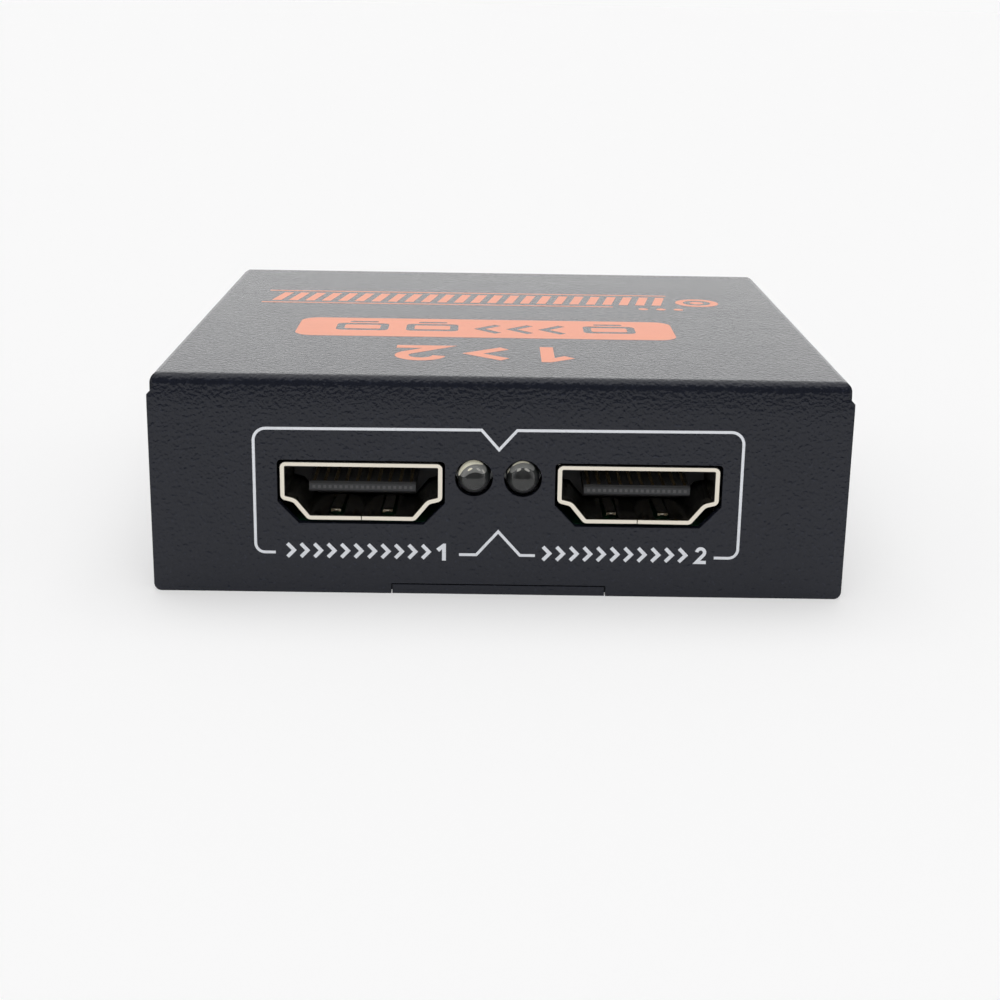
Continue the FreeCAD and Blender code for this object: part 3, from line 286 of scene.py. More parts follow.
def print_piece(name, outlines, thickness):
    """Thin layer of ink: outlines filled by the even-odd rule, as a flat curve turned into a mesh.
    The outlines are in millimetres, the layer lies about the plane z = 0."""
    curve = bpy.data.curves.new(name, "CURVE")
    curve.dimensions = "2D"
    curve.fill_mode = "BOTH"
    curve.extrude = thickness / 2
    for outline in outlines:
        spline = curve.splines.new("POLY")
        spline.points.add(len(outline) - 1)
        flat = np.zeros((len(outline), 4))
        flat[:, :2] = outline * MM
        flat[:, 3] = 1
        spline.points.foreach_set("co", flat.ravel())
        spline.use_cyclic_u = True
    drawn = bpy.data.objects.new(name + "_drawn", curve)
    mesh = bpy.data.meshes.new_from_object(drawn)
    mesh.name = name
    bpy.data.objects.remove(drawn)
    bpy.data.curves.remove(curve)
    return clean_mesh(link(bpy.data.objects.new(name, mesh)))


def lay_ink(name, outlines, ink, layer, stand):
    """One layer of ink as a piece, stood on its face."""
    piece = print_piece(name, outlines, layer)
    piece.data.transform(stand)
    finish_piece(piece, ink, "powder_coat")


# Shader helpers


class Shader:
    """Makes the nodes of one material or group; surface is the node that its results feed."""

    def __init__(self, tree, surface=None):
        self.tree = tree
        self.surface = surface

    def link(self, source, target):
        self.tree.links.new(source, target)

    def feed(self, label, source):
        """Link a source to one of the surface's sockets."""
        self.link(source, self.surface.inputs[label])

    def node(self, kind, inputs=None, **settings):
        """New node with its settings, and with a value or a link for each input named."""
        made = self.tree.nodes.new(kind)
        for name, value in settings.items():
            setattr(made, name, value)
        for label, value in (inputs or {}).items():
            if isinstance(value, bpy.types.NodeSocket):
                self.link(value, made.inputs[label])
            else:
                made.inputs[label].default_value = value
        return made

    def place(self):
        """Where a point of the object lies."""
        return self.node("ShaderNodeTexCoord").outputs["Object"]

    def group(self, tree, **values):
        """Outputs of a group with its own values."""
        inputs = {label.replace("_", " "): value for label, value in values.items()}
        return self.node("ShaderNodeGroup", inputs, node_tree=tree).outputs

    def noise(self, vector, scale, detail=2.0, roughness=0.5):
        inputs = {"Vector": vector, "Scale": scale, "Detail": detail, "Roughness": roughness}
        return self.node("ShaderNodeTexNoise", inputs).outputs["Fac"]

    def math(self, operation, first, second):
        return self.node("ShaderNodeMath", {0: first, 1: second}, operation=operation).outputs[0]

    def scaled(self, vector, factor):
        """Vector times a number."""
        inputs = {0: vector, "Scale": factor}
        return self.node("ShaderNodeVectorMath", inputs, operation="SCALE").outputs["Vector"]

    def span(self, value, low, high, to_low, to_high):
        """Map a value's range onto another, clamped."""
        inputs = {"From Min": low, "From Max": high, "To Min": to_low, "To Max": to_high}
        inputs["Value"] = value
        return self.node("ShaderNodeMapRange", inputs, clamp=True).outputs["Result"]

    def blend(self, mask, first, second):
        """Colour mix by a mask."""
        inputs = {"Factor": mask, 6: first, 7: second}
        return self.node("ShaderNodeMix", inputs, data_type="RGBA").outputs[2]

    def mix(self, mask, first, second):
        """Shader mix by a mask."""
        return self.node("ShaderNodeMixShader", {0: mask, 1: first, 2: second}).outputs[0]

    def bump(self, height, strength, distance):
        inputs = {"Strength": strength, "Distance": distance, "Height": height}
        return self.node("ShaderNodeBump", inputs).outputs["Normal"]


def new_group(name, inputs, outputs):
    """Empty shader group with named sockets: what makes its nodes, and its inputs' sockets."""
    tree = bpy.data.node_groups.new(name, "ShaderNodeTree")
    kind = "NodeSocketFloat"
    for label, default in inputs.items():
        socket = tree.interface.new_socket(name=label, in_out="INPUT", socket_type=kind)
        socket.default_value = default
    for label in outputs:
        tree.interface.new_socket(name=label, in_out="OUTPUT", socket_type=kind)
    shader = Shader(tree)
    start = shader.node("NodeGroupInput").outputs
    shader.surface = shader.node("NodeGroupOutput")
    return shader, start


@cache
def grain_group():
    """Orange-peel grain of a baked coat: two sizes of noise as a height, a slow drift as a tone,
    and the grain's highest tops as a mask, for the coat's painted glint and for thinner ink."""
    inputs = {"Grains Per Metre": 3000.0, "Coarse Share": 0.35}
    shader, start = new_group("coat_grain", inputs, ("Height", "Tone", "Tops For Painted Glint And Thin Ink"))
    vector = shader.scaled(shader.place(), start["Grains Per Metre"])
    fine = shader.noise(vector, 1.0, 1.5, 0.5)
    coarse = shader.noise(vector, 0.4, 1.0, 0.5)
    mixed = shader.math("MULTIPLY", coarse, start["Coarse Share"])
    shader.feed("Height", shader.math("ADD", fine, mixed))
    shader.feed("Tone", shader.noise(vector, 0.05, 3.0, 0.6))
    shader.feed("Tops For Painted Glint And Thin Ink", shader.span(fine, 0.62, 0.78, 0.0, 1.0))
    return shader.tree


@cache
def dust_group():
    """Scattered specks: a random few cells of a cell pattern hold a small dot each."""
    inputs = {"Cells Per Metre": 700.0, "Speck Radius": 0.07, "Share": 0.05}
    shader, start = new_group("dust", inputs, ("Mask",))
    vector = shader.scaled(shader.place(), start["Cells Per Metre"])
    cells = shader.node("ShaderNodeTexVoronoi", {"Scale": 1.0, "Vector": vector}, feature="F1")
    near = shader.math("LESS_THAN", cells.outputs["Distance"], start["Speck Radius"])
    split = shader.node("ShaderNodeSeparateColor", {"Color": cells.outputs["Color"]}).outputs
    chosen = shader.math("LESS_THAN", split[0], start["Share"])
    strength = shader.math("MULTIPLY", near, chosen)
    shader.feed("Mask", shader.math("MULTIPLY", strength, split[1]))
    return shader.tree


@cache
def lay_group():
    """Fine lines of rolled or drawn metal: noise that is drawn out along X."""
    shader, start = new_group("metal_lay", {"Lines Per Metre": 9000.0}, ("Height", "Tone"))
    place = shader.place()
    stretch = {0: place, 1: (0.06, 1.0, 1.0)}
    drawn = shader.node("ShaderNodeVectorMath", stretch, operation="MULTIPLY")
    vector = shader.scaled(drawn.outputs["Vector"], start["Lines Per Metre"])
    shader.feed("Height", shader.noise(vector, 1.0, 2.0, 0.5))
    shader.feed("Tone", shader.noise(place, 900.0, 3.0, 0.6))
    return shader.tree


def new_material(name, color, roughness, **sockets):
    """Material with a Principled shader and its even values."""
    material = bpy.data.materials.new(name)
    material.use_nodes = True
    principled = material.node_tree.nodes["Principled BSDF"]
    principled.inputs["Base Color"].default_value = (*color, 1.0)
    principled.inputs["Roughness"].default_value = roughness
    for label, value in sockets.items():
        principled.inputs[label.replace("_", " ")].default_value = value
    material.diffuse_color = (*color, 1.0)
    return material, Shader(material.node_tree, principled)


def rgba(color, factor):
    """Colour times a factor, opaque."""
    return (*(min(1.0, channel * factor) for channel in color), 1.0)


# Materials

# The range in which nearly all of a grain's or a lay's tone lies
TONE_RANGE = (0.3, 0.7)


def powder_coat(settings):
    """Black powder coat: fine orange peel, a slow drift of tone, a painted glint on the grain's
    highest tops and a few light grey specks of dust.
    """
    color = tuple(settings.color)
    rough = settings.roughness
    material, shader = new_material(
        "powder_coat", color, rough, Specular_IOR_Level=settings.gloss
    )
    grain = shader.group(grain_group(), Grains_Per_Metre=settings.grains_per_metre)
    dust = shader.group(dust_group())
    drift = shader.blend(grain["Tone"], rgba(color, 0.92), rgba(color, 1.1))
    # Painted highlight: the coat's colour is made 2.4 times lighter on the grain's highest tops,
    # where they would catch the light
    tops = shader.math("MULTIPLY", grain["Tops For Painted Glint And Thin Ink"], 0.5)
    painted_glint_peaks = shader.blend(tops, drift, rgba(color, 2.4))
    specks = shader.math("MULTIPLY", dust["Mask"], 0.6)
    shader.feed("Base Color", shader.blend(specks, painted_glint_peaks, (0.25, 0.25, 0.26, 1.0)))
    spread = 0.01
    shader.feed(
        "Roughness", shader.span(grain["Tone"], *TONE_RANGE, rough - spread, rough + spread)
    )
    shader.feed("Normal", shader.bump(grain["Height"], 1.0, settings.grain_depth))
    return material


def printed_ink(name, color, roughness):
    """Screen-printed ink: the coat's grain shows through it, with a slight unevenness of cover."""
    material, shader = new_material(name, color, roughness, Specular_IOR_Level=0.3)
    grain = shader.group(grain_group(), Grains_Per_Metre=2600.0)
    tone = shader.blend(grain["Tone"], rgba(color, 0.9), rgba(color, 1.08))
    tops = shader.math("MULTIPLY", grain["Tops For Painted Glint And Thin Ink"], 0.35)
    shader.feed("Base Color", shader.blend(tops, tone, rgba(color, 0.72)))
    shader.feed("Normal", shader.bump(grain["Height"], 0.7, 8e-6))
    return material


def plated_metal(name, color, roughness):
    """Plated metal with rolling lines and slightly clouded gloss."""
    material, shader = new_material(name, color, roughness, Metallic=1.0)
    lay = shader.group(lay_group())
    low, high = roughness - 0.025, roughness + 0.05
    shader.feed("Roughness", shader.span(lay["Tone"], *TONE_RANGE, low, high))
    shader.feed("Base Color", shader.blend(lay["Tone"], rgba(color, 0.94), rgba(color, 1.03)))
    shader.feed("Normal", shader.bump(lay["Height"], 0.5, 3e-6))
    return material


def moulded(name, color, roughness):
    """Moulded resin or ceramic: a fine skin texture and a mottled tone."""
    material, shader = new_material(name, color, roughness, Specular_IOR_Level=0.5)
    grain = shader.group(grain_group(), Grains_Per_Metre=2500.0)
    shader.feed("Base Color", shader.blend(grain["Tone"], rgba(color, 0.8), rgba(color, 1.2)))
    shader.feed("Normal", shader.bump(grain["Height"], 0.8, 5e-6))
    return material


def solder_mask(color):
    """Green laminate with a weave under its lacquer."""
    material, shader = new_material("solder_mask", color, 0.35)
    place = shader.place()
    squares = {"Scale": 1800.0, "Color1": rgba(color, 0.9), "Color2": rgba(color, 1.15)}
    squares["Vector"] = place
    weave = shader.node("ShaderNodeTexChecker", squares)
    shader.feed("Base Color", weave.outputs["Color"])
    shader.feed("Normal", shader.bump(shader.noise(place, 2500.0), 0.4, 4e-6))
    return material


def clear_epoxy(tint):
    """Water-clear lamp moulding with faint flow marks."""
    material, shader = new_material("clear_epoxy", tint, 0.02, Transmission_Weight=1.0, IOR=1.53)
    shader.feed("Normal", shader.bump(shader.noise(shader.place(), 700.0), 0.15, 8e-6))
    return material


def painted_lamp_light(name, color, painted_glow):
    """What shows in a lamp: painted highlights, painted glints, grey painted reflection and dark
    marks on its films, and the painted shade of its core. The little light it gives is painted
    light: it stands for what the clear moulding carries round inside and the renderer doesn't
    follow through glass."""
    material, shader = new_material("lamp_" + name, color, 0.5, Emission_Strength=1.0)
    grain = shader.group(grain_group(), Grains_Per_Metre=2200.0)
    light = tuple(painted_glow * channel / max(color) for channel in color)
    uneven = shader.blend(grain["Height"], rgba(light, 0.7), rgba(light, 1.2))
    shader.feed("Emission Color", uneven)
    return material


# Material name, colour and roughness of the slots that a plating gives
PLATED = {
    "black_screw": ("black_zinc", (0.035, 0.035, 0.04), 0.38),
    "brass_post": ("turned_brass", (0.78, 0.66, 0.38), 0.3),
    "zinc_screw": ("zinc_plate", (0.70, 0.71, 0.73), 0.3),
    "gold_contact": ("gold_flash", (0.86, 0.64, 0.30), 0.22),
    "tinned_lead": ("tin_plate", (0.68, 0.69, 0.70), 0.34),
    "can_aluminium": ("can_aluminium", (0.80, 0.80, 0.81), 0.28),
    "crystal_steel": ("drawn_steel", (0.76, 0.76, 0.75), 0.25),
}

# The same of the slots that a mould or a press gives
MOULDED = {
    "chip_resin": ("chip_resin", (0.03, 0.03, 0.032), 0.6),
    "ferrite": ("pressed_ferrite", (0.10, 0.10, 0.11), 0.75),
    "tan_ceramic": ("fired_ceramic", (0.52, 0.40, 0.28), 0.55),
    "resistor_black": ("glazed_ceramic", (0.04, 0.04, 0.045), 0.3),
    "fuse_green": ("moulded_polymer", (0.10, 0.30, 0.16), 0.5),
}

# Solder-mask green darkened far below its own colour as painted shade, so that the board looks near
# black where it shows round the sockets
MASK_GREEN_WITH_PAINTED_SHADE = (0.008, 0.055, 0.022)


@cache
def material_for(slot):
    """Material of one of the record's slots, made once."""
    coat = bpy.context.scene.splitter_coat
    parts = bpy.context.scene.splitter_parts
    if slot in PLATED:
        return plated_metal(*PLATED[slot])
    if slot in MOULDED:
        return moulded(*MOULDED[slot])
    nickel = ("nickel_plate", tuple(parts.nickel), parts.nickel_roughness)
    makers = {
        "powder_coat": lambda: powder_coat(coat),
        "nickel_shell": lambda: plated_metal(*nickel),
        "board_laminate": lambda: solder_mask(MASK_GREEN_WITH_PAINTED_SHADE),
        "black_resin": lambda: moulded("black_resin", tuple(parts.resin), 0.5),
        "clear_epoxy": lambda: clear_epoxy(tuple(parts.epoxy)),
    }
    return makers[slot]()


SLOT_OF = {part["node"]: part["material_slot"] for part in frame["record"]["subparts"]}


def dressed_node(node, width, segments, rim=None):
    """Rolled copy of a node with its slot's finish, which takes the node's place."""
    slot = SLOT_OF[node]
    piece = rolled_copy(node, width, segments, rim)
    return finish_piece(piece, material_for(slot), slot, node)


# Screws


def screw_head(name, radius):
    """Closed surface over rings and spokes, pointing along +Z with its rim at z = 0. Ring by ring
    it is the face with a cross recess, the cone and the shank. The recess is as deep as the deeper
    of two soft-edged bars, and fades out towards their ends."""
    rings, spokes = 26, 96
    half_bar, arm, deepest = 0.26 * MM, 1.15 * MM, 0.75 * MM
    soft_side, soft_end = 0.12 * MM, 0.5 * MM
    turn = np.linspace(0, 2 * math.pi, spokes, endpoint=False)[None, :]
    inner = np.linspace(0.0, 0.94, rings)[:, None] * radius
    x, y = inner * np.cos(turn), inner * np.sin(turn)
    across = np.minimum(np.abs(x), np.abs(y))
    along = np.maximum(np.abs(x), np.abs(y))
    edge = np.clip((half_bar - across) / soft_side + 0.5, 0, 1)
    reach = np.clip((arm - along) / soft_end, 0, 1)
    face = np.stack([x, y, -deepest * edge * reach], axis=-1)
    shank = 1.25 * MM
    outer = np.array([
        (0.985 * radius, -0.01 * MM), (radius, -0.05 * MM), (radius, -0.09 * MM),
        (shank, -0.85 * MM), (shank, -3.9 * MM), (0.0, -4.0 * MM),
    ])
    ring, depth = outer[:, :1], np.broadcast_to(outer[:, 1:], (len(outer), spokes))
    skirt = np.stack([ring * np.cos(turn), ring * np.sin(turn), depth], axis=-1)
    return grid_piece(name, np.concatenate([face, skirt]), wrap_columns=True)


# Contacts' ends in a tongue: how many, how far apart, half their width and height, and how far
# behind the shell's rim a plate starts and ends
ENDS = 19
PITCH = 0.5 * MM
HALF_END = (0.13 * MM, 0.14 * MM)
PLATE = (1.53 * MM, 1.60 * MM)


def contact_ends(name, centre):
    """The contacts' ends in the front face of a tongue: small plates side by side, where plate k
    of n stands (k - (n - 1) / 2) pitches beside the middle."""
    inward = 1.0 if centre.y < 0 else -1.0
    corner = np.array([(-1, -1), (1, -1), (1, 1), (-1, 1)]) * HALF_END
    middle = centre.x + (np.arange(ENDS) - (ENDS - 1) / 2) * PITCH
    ring = np.empty((ENDS, 2, 4, 3))
    ring[..., 0] = middle[:, None, None] + corner[None, None, :, 0]
    ring[..., 1] = (centre.y + inward * np.array(PLATE))[None, :, None]
    ring[..., 2] = centre.z + corner[None, None, :, 1]
    faces = np.array([
        (0, 1, 2, 3), (7, 6, 5, 4), (0, 4, 5, 1), (1, 5, 6, 2), (2, 6, 7, 3), (3, 7, 4, 0),
    ])
    quads = faces[None] + 8 * np.arange(ENDS)[:, None, None]
    return clean_mesh(mesh_piece(name, ring, quads))


# Lamps: radii of the dome, of the core of painted shade in it and of the films of painted light
# between them, the grey undermost
DOME = 1.5 * MM
CORE = 1.44 * MM
GREY_FILM = 1.454 * MM
FILM = 1.474 * MM

# Colour of each painted look in a lamp, and the painted light that it gives: painted highlights,
# painted glints, the grey painted reflection of floor and scattered light, and dark marks
PAINTED_LAMP_LOOKS = {
    "painted_highlight": ((0.72, 0.69, 0.58), 0.26),
    "painted_glow": ((0.40, 0.39, 0.36), 0.12),
    "grey": ((0.15, 0.15, 0.145), 0.075),
    "dark": ((0.004, 0.004, 0.004), 0.0),
}
# Painted light given by a lamp's core of painted shade
CORE_PAINTED_LIGHT = 0.003

# Films of painted light in each lamp: its painted look, then in degrees the angle round the axis,
# half its spread, the angle off the axis, the reach in and the reach out
PAINTED_LAMP_FILMS = {
    "lamp_1": (
        ("grey", 100, 84, 38, 24, 46), ("painted_highlight", 116, 62, 68, 22, 20), ("painted_highlight", 120, 19, 30, 4, 5),
        ("painted_glow", 57, 16, 31, 4, 4), ("painted_glow", 30, 12, 42, 4, 4),
    ),
    "lamp_2": (
        ("grey", 97, 64, 50, 14, 34), ("painted_highlight", 100, 34, 69, 8, 14), ("painted_highlight", 156, 10, 76, 6, 8),
        ("painted_glow", 121, 17, 32, 5, 5), ("painted_glow", 63, 20, 31, 5, 5), ("dark", 176, 27, 16, 13, 11),
        ("dark", 8, 27, 13, 13, 11),
    ),
}


def lamp_dome(name, flange, length, steps):
    """Lathe: a quarter circle for the dome, a barrel, a rounded flange and a flat back."""
    collar = length - 1.0 * MM
    roll = 0.12 * MM
    profile = np.vstack([
        arc((0, DOME), DOME, 270, 360, 24),
        arc((DOME + roll, collar - roll), roll, 180, 90, 5),
        arc((flange - roll, collar + roll), roll, 270, 360, 5),
        arc((flange - roll, length - roll), roll, 0, 90, 5),
        [(0.0, length)],
    ])
    return lathe(name, profile, steps)


def painted_shade_core(name, steps):
    """Lathe: what closes the depth of a lamp, a ball inside the dome with a flat back, whose colour
    is the depth's painted shade.
    """
    ball = arc((0, DOME), CORE, 270, 382, 24)
    return lathe(name, np.vstack([ball, [(0.0, ball[-1, 1])]]), steps)


def painted_lamp_film(name, middle, turn, spread, off, inner, outer):
    """Thin closed sheet between core and dome that carries one painted look: a painted highlight, a
    painted glint, grey painted reflection or a dark mark. Row s, from -1 to 1, lies at the angle
    turn + spread s round an axis that leans up from the lamp's; across, it reaches from off - inner
    w to off + outer w off that axis, with w = sqrt(1 - s squared). It is thickest in its middle and
    runs out at its edge."""
    rows, columns = 33, 9
    lean = math.radians(16)
    thickest = 0.009 * MM
    bow = np.linspace(-math.pi / 2, math.pi / 2, rows)
    s, w = np.sin(bow)[:, None], np.cos(bow)[:, None]
    share = np.linspace(0, 1, columns)[None, :]
    across = off + w * ((inner + outer) * share - inner)
    swell = thickest * w * np.sin(math.pi * share)
    across = np.hstack([across, across[:, -2:0:-1]])
    radius = middle + np.hstack([swell, -swell[:, -2:0:-1]])
    around = turn + spread * s
    x = radius * np.sin(across) * np.cos(around)
    z = radius * np.sin(across) * np.sin(around)
    y = -radius * np.cos(across)
    level, rise = math.cos(lean), math.sin(lean)
    points = np.stack([x, DOME + y * level + z * rise, z * level - y * rise], axis=-1)
    return clean_mesh(grid_piece(name, points, wrap_columns=True))


# Stage


def ray_masks(shader):
    """Masks of the camera's rays, and of these with the rays through glass and off gloss."""
    path = shader.node("ShaderNodeLightPath").outputs
    camera = path["Is Camera Ray"]
    clear = shader.math("MAXIMUM", camera, path["Is Transmission Ray"])
    return camera, shader.math("MAXIMUM", clear, path["Is Glossy Ray"])


def make_floor(stage):
    """One large flat square that the box stands on, in part as white as the background."""
    reach = 40.0
    side = np.linspace(-reach, reach, 2)
    x, y = np.meshgrid(side, side, indexing="ij")
    floor = grid_piece("floor", np.stack([x, y, np.zeros_like(x)], axis=-1))
    material, shader = new_material(
        "paper", tuple(stage.floor_color), 0.9, Specular_IOR_Level=0.1
    )
    shader.feed("Normal", shader.bump(shader.noise(shader.place(), 400.0, 4.0), 0.05, 1e-4))
    seen = ray_masks(shader)[1]
    white = shader.node("ShaderNodeEmission", {"Strength": stage.background})
    share = shader.math("MULTIPLY", seen, stage.floor_share)
    surface = shader.mix(share, shader.surface.outputs[0], white.outputs[0])
    shader.link(surface, shader.tree.nodes["Material Output"].inputs["Surface"])
    floor.data.materials.append(material)
    clean_mesh(floor)


def make_world(stage):
    """White for the eye, a plain level of light on everything, and for gloss and glass a bright
    half behind and overhead with a dim room on the side of the front panel."""
    world = bpy.data.worlds.new("studio")
    bpy.context.scene.world = world
    world.use_nodes = True
    world.node_tree.nodes.clear()
    shader = Shader(world.node_tree)
    direction = shader.node("ShaderNodeTexCoord").outputs["Generated"]
    forward = shader.node("ShaderNodeSeparateXYZ", {0: direction}).outputs["Y"]
    dim_until, bright_from = -0.55, -0.12
    gloss = shader.span(forward, dim_until, bright_from, stage.front_level, stage.back_level)
    camera, seen = ray_masks(shader)
    away = shader.math("MULTIPLY", gloss, shader.math("SUBTRACT", 1.0, camera))
    eye = shader.math("MULTIPLY", camera, stage.background)
    levels = (stage.world_level, shader.math("ADD", away, eye))
    plain, mirrored = (
        shader.node("ShaderNodeBackground", {"Color": (1.0, 1.0, 1.0, 1.0), "Strength": level})
        for level in levels
    )
    surface = shader.mix(seen, plain.outputs[0], mirrored.outputs[0])
    shader.node("ShaderNodeOutputWorld", {"Surface": surface})


def make_lights(stage):
    """Wide far lights over the camera and behind the box, which no gloss shows."""
    for name, place, angle, strength in (
        ("front_light", (0.0, -0.45, 0.40), 60, stage.front_light),
        ("back_light_left", (-0.12, 0.18, 0.60), 40, stage.back_light),
        ("back_light_right", (0.12, 0.18, 0.60), 40, stage.back_light),
    ):
        light = bpy.data.lights.new(name, "SUN")
        light.angle = math.radians(angle)
        light.energy = strength
        lamp = link(bpy.data.objects.new(name, light))
        turn = Vector(place).to_track_quat("Z", "Y").to_matrix().to_4x4()
        lamp.matrix_world = Matrix.Translation(place) @ turn
        lamp.visible_glossy = False


def make_camera(stage):
    """Camera at the photograph's place: turned, then tilted down, then leaned."""
    data = bpy.data.cameras.new("camera")
    data.lens = stage.lens
    data.sensor_width = 36.0
    data.sensor_fit = "HORIZONTAL"
    data.clip_start = 0.005
    data.clip_end = 100.0
    camera = link(bpy.data.objects.new("camera", data))
    turn = Matrix.Rotation(-stage.camera_turn, 4, "Z")
    tilt = Matrix.Rotation(math.radians(90) - stage.camera_tilt, 4, "X")
    roll = Matrix.Rotation(stage.camera_roll, 4, "Z")
    camera.matrix_world = Matrix.Translation(stage.camera_place) @ turn @ tilt @ roll
    bpy.context.scene.camera = camera


# Settings


def color_value(name, description, default):
    """A colour that a user can change."""
    return FloatVectorProperty(
        name=name, description=description, subtype="COLOR", size=3, default=default
    )


def length_value(name, description, millimetres):
    """A length that a user can change."""
    return FloatProperty(
        name=name, description=description, default=millimetres * MM, unit="LENGTH", precision=6
    )


def angle_value(name, description, degrees):
    """An angle that a user can change."""
    return FloatProperty(
        name=name, description=description, default=math.radians(degrees), unit="ROTATION"
    )


def plain_value(name, description, default, **limits):
    """A plain number that a user can change."""
    return FloatProperty(name=name, description=description, default=default, **limits)


class CoatSettings(bpy.types.PropertyGroup):
    """The box's baked coat."""

    color: color_value("Colour", "Coat colour", (0.0086, 0.0102, 0.0170))
    roughness: plain_value("Roughness", "Coat roughness", 0.23, min=0, max=1)
    gloss: plain_value("Gloss", "Strength of the coat's reflection", 0.36, min=0, max=1)
    grains_per_metre: plain_value(
        "Grains per metre", "Fineness of the orange peel", 3000.0, min=100
    )
    grain_depth: length_value("Grain depth", "Height of the orange peel", 0.094)
    bend: length_value("Bend", "Outer radius of the folds", 1.1)
    fold_reach: length_value("Fold reach", "How far under a fold its panel still leans", 2.4)
    fold_lean: length_value("Fold lean", "How far a panel leans in at its fold", 0.15)
    edge_roll: length_value("Edge roll", "Round that the coat leaves on cut edges", 0.09)


class PrintSettings(bpy.types.PropertyGroup):
    """Inks and line widths of the front and top prints."""

    white: color_value("White ink", "Colour of the front print", (0.74, 0.76, 0.80))
    orange: color_value("Orange ink", "Colour of the top print", (0.82, 0.258, 0.125))
    layer: length_value("Layer", "Thickness of the ink", 0.02)
    line: plain_value("Frame line", "Width of the front's frame line in mm", 0.262)
    big_stroke: plain_value("Figure stroke", "Stroke of the top's figures in mm", 1.3)


class PartSettings(bpy.types.PropertyGroup):
    """Colours and finish of what shows in the openings."""

    nickel: color_value("Nickel", "Colour of the socket shells", (0.78, 0.73, 0.63))
    nickel_roughness: plain_value("Nickel roughness", "Roughness of the shells", 0.16)
    resin: color_value("Resin", "Colour of socket and jack mouldings", (0.027, 0.028, 0.031))
    ends: color_value("Contact ends", "Grey of the contacts' ends", (0.075, 0.076, 0.078))
    epoxy: color_value("Epoxy", "Tint of the lamp mouldings", (0.90, 0.91, 0.90))
    shell_roll: length_value("Shell edge", "Round on the outer rims of the shells", 0.11)
    mould_roll: length_value("Moulding edge", "Round on small mouldings", 0.06)
    socket_height: length_value("Socket height", "Height of the tongues' middle", 9.8)
    # Near-black painted shade that fills the depth of a lamp
    painted_shade_core: color_value(
        "Lamp core", "Grey that shows in the depth of a lamp", (0.0055, 0.0058, 0.006)
    )
    lamp_steps: IntProperty(
        name="Lamp steps", description="Facets round a lamp", default=72, min=12
    )


class StageSettings(bpy.types.PropertyGroup):
    """Camera, floor and light."""

    camera_place: FloatVectorProperty(
        name="Camera place", description="Where the camera stands", subtype="TRANSLATION", size=3,
        unit="LENGTH", default=(-1.415 * MM, -180.236 * MM, 53.238 * MM),
    )
    camera_tilt: angle_value("Tilt", "How far the camera looks down", 16.469)
    camera_turn: angle_value("Turn", "How far it looks to the right", 0.553)
    camera_roll: angle_value("Roll", "How far it leans", 0.964)
    lens: plain_value("Lens", "Focal length in mm on a 36 mm sensor", 60.715)
    floor_color: color_value("Floor", "Colour of the floor", (0.982, 0.977, 0.979))
    floor_share: plain_value(
        "Floor share", "Share of the background in what the eye sees of the floor", 0.4,
        min=0, max=1,
    )
    background: plain_value("Background", "White of the background", 0.955)
    world_level: plain_value("World level", "Light from all round", 0.38)
    back_level: plain_value("Back level", "What gloss sees overhead and behind the box", 1.27)
    front_level: plain_value("Front level", "What gloss sees before the front panel", 0.06)
    front_light: plain_value("Front light", "Strength of the light above the camera", 1.06)
    back_light: plain_value("Back lights", "Strength of each light behind the box", 0.60)


# Operators


def undoable(operator):
    """Let an operator's work be undone and redone."""
    operator.bl_options = {"REGISTER", "UNDO"}
    return operator


@undoable
class SPLITTER_OT_board(bpy.types.Operator):
    """Finishes of the board, of everything on it and of every other plain node"""

    bl_idname = "splitter.board"
    bl_label = "Board and its parts"

    def execute(self, context):
        for node, piece in frame["nodes"].items():
            piece.data.materials.clear()
            piece.data.materials.append(material_for(SLOT_OF[node]))
        return {"FINISHED"}


@undoable
class SPLITTER_OT_housing(bpy.types.Operator):
    """Coated cover and base plate with rolled edges"""

    bl_idname = "splitter.housing"
    bl_label = "Cover and base plate"

    def execute(self, context):
        coat = context.scene.splitter_coat
        cover = dressed_node("cover", coat.edge_roll, 3)
        ease_folds(cover, coat.bend, coat.fold_reach, coat.fold_lean)
        dressed_node("base_plate", coat.edge_roll, 3)
        return {"FINISHED"}


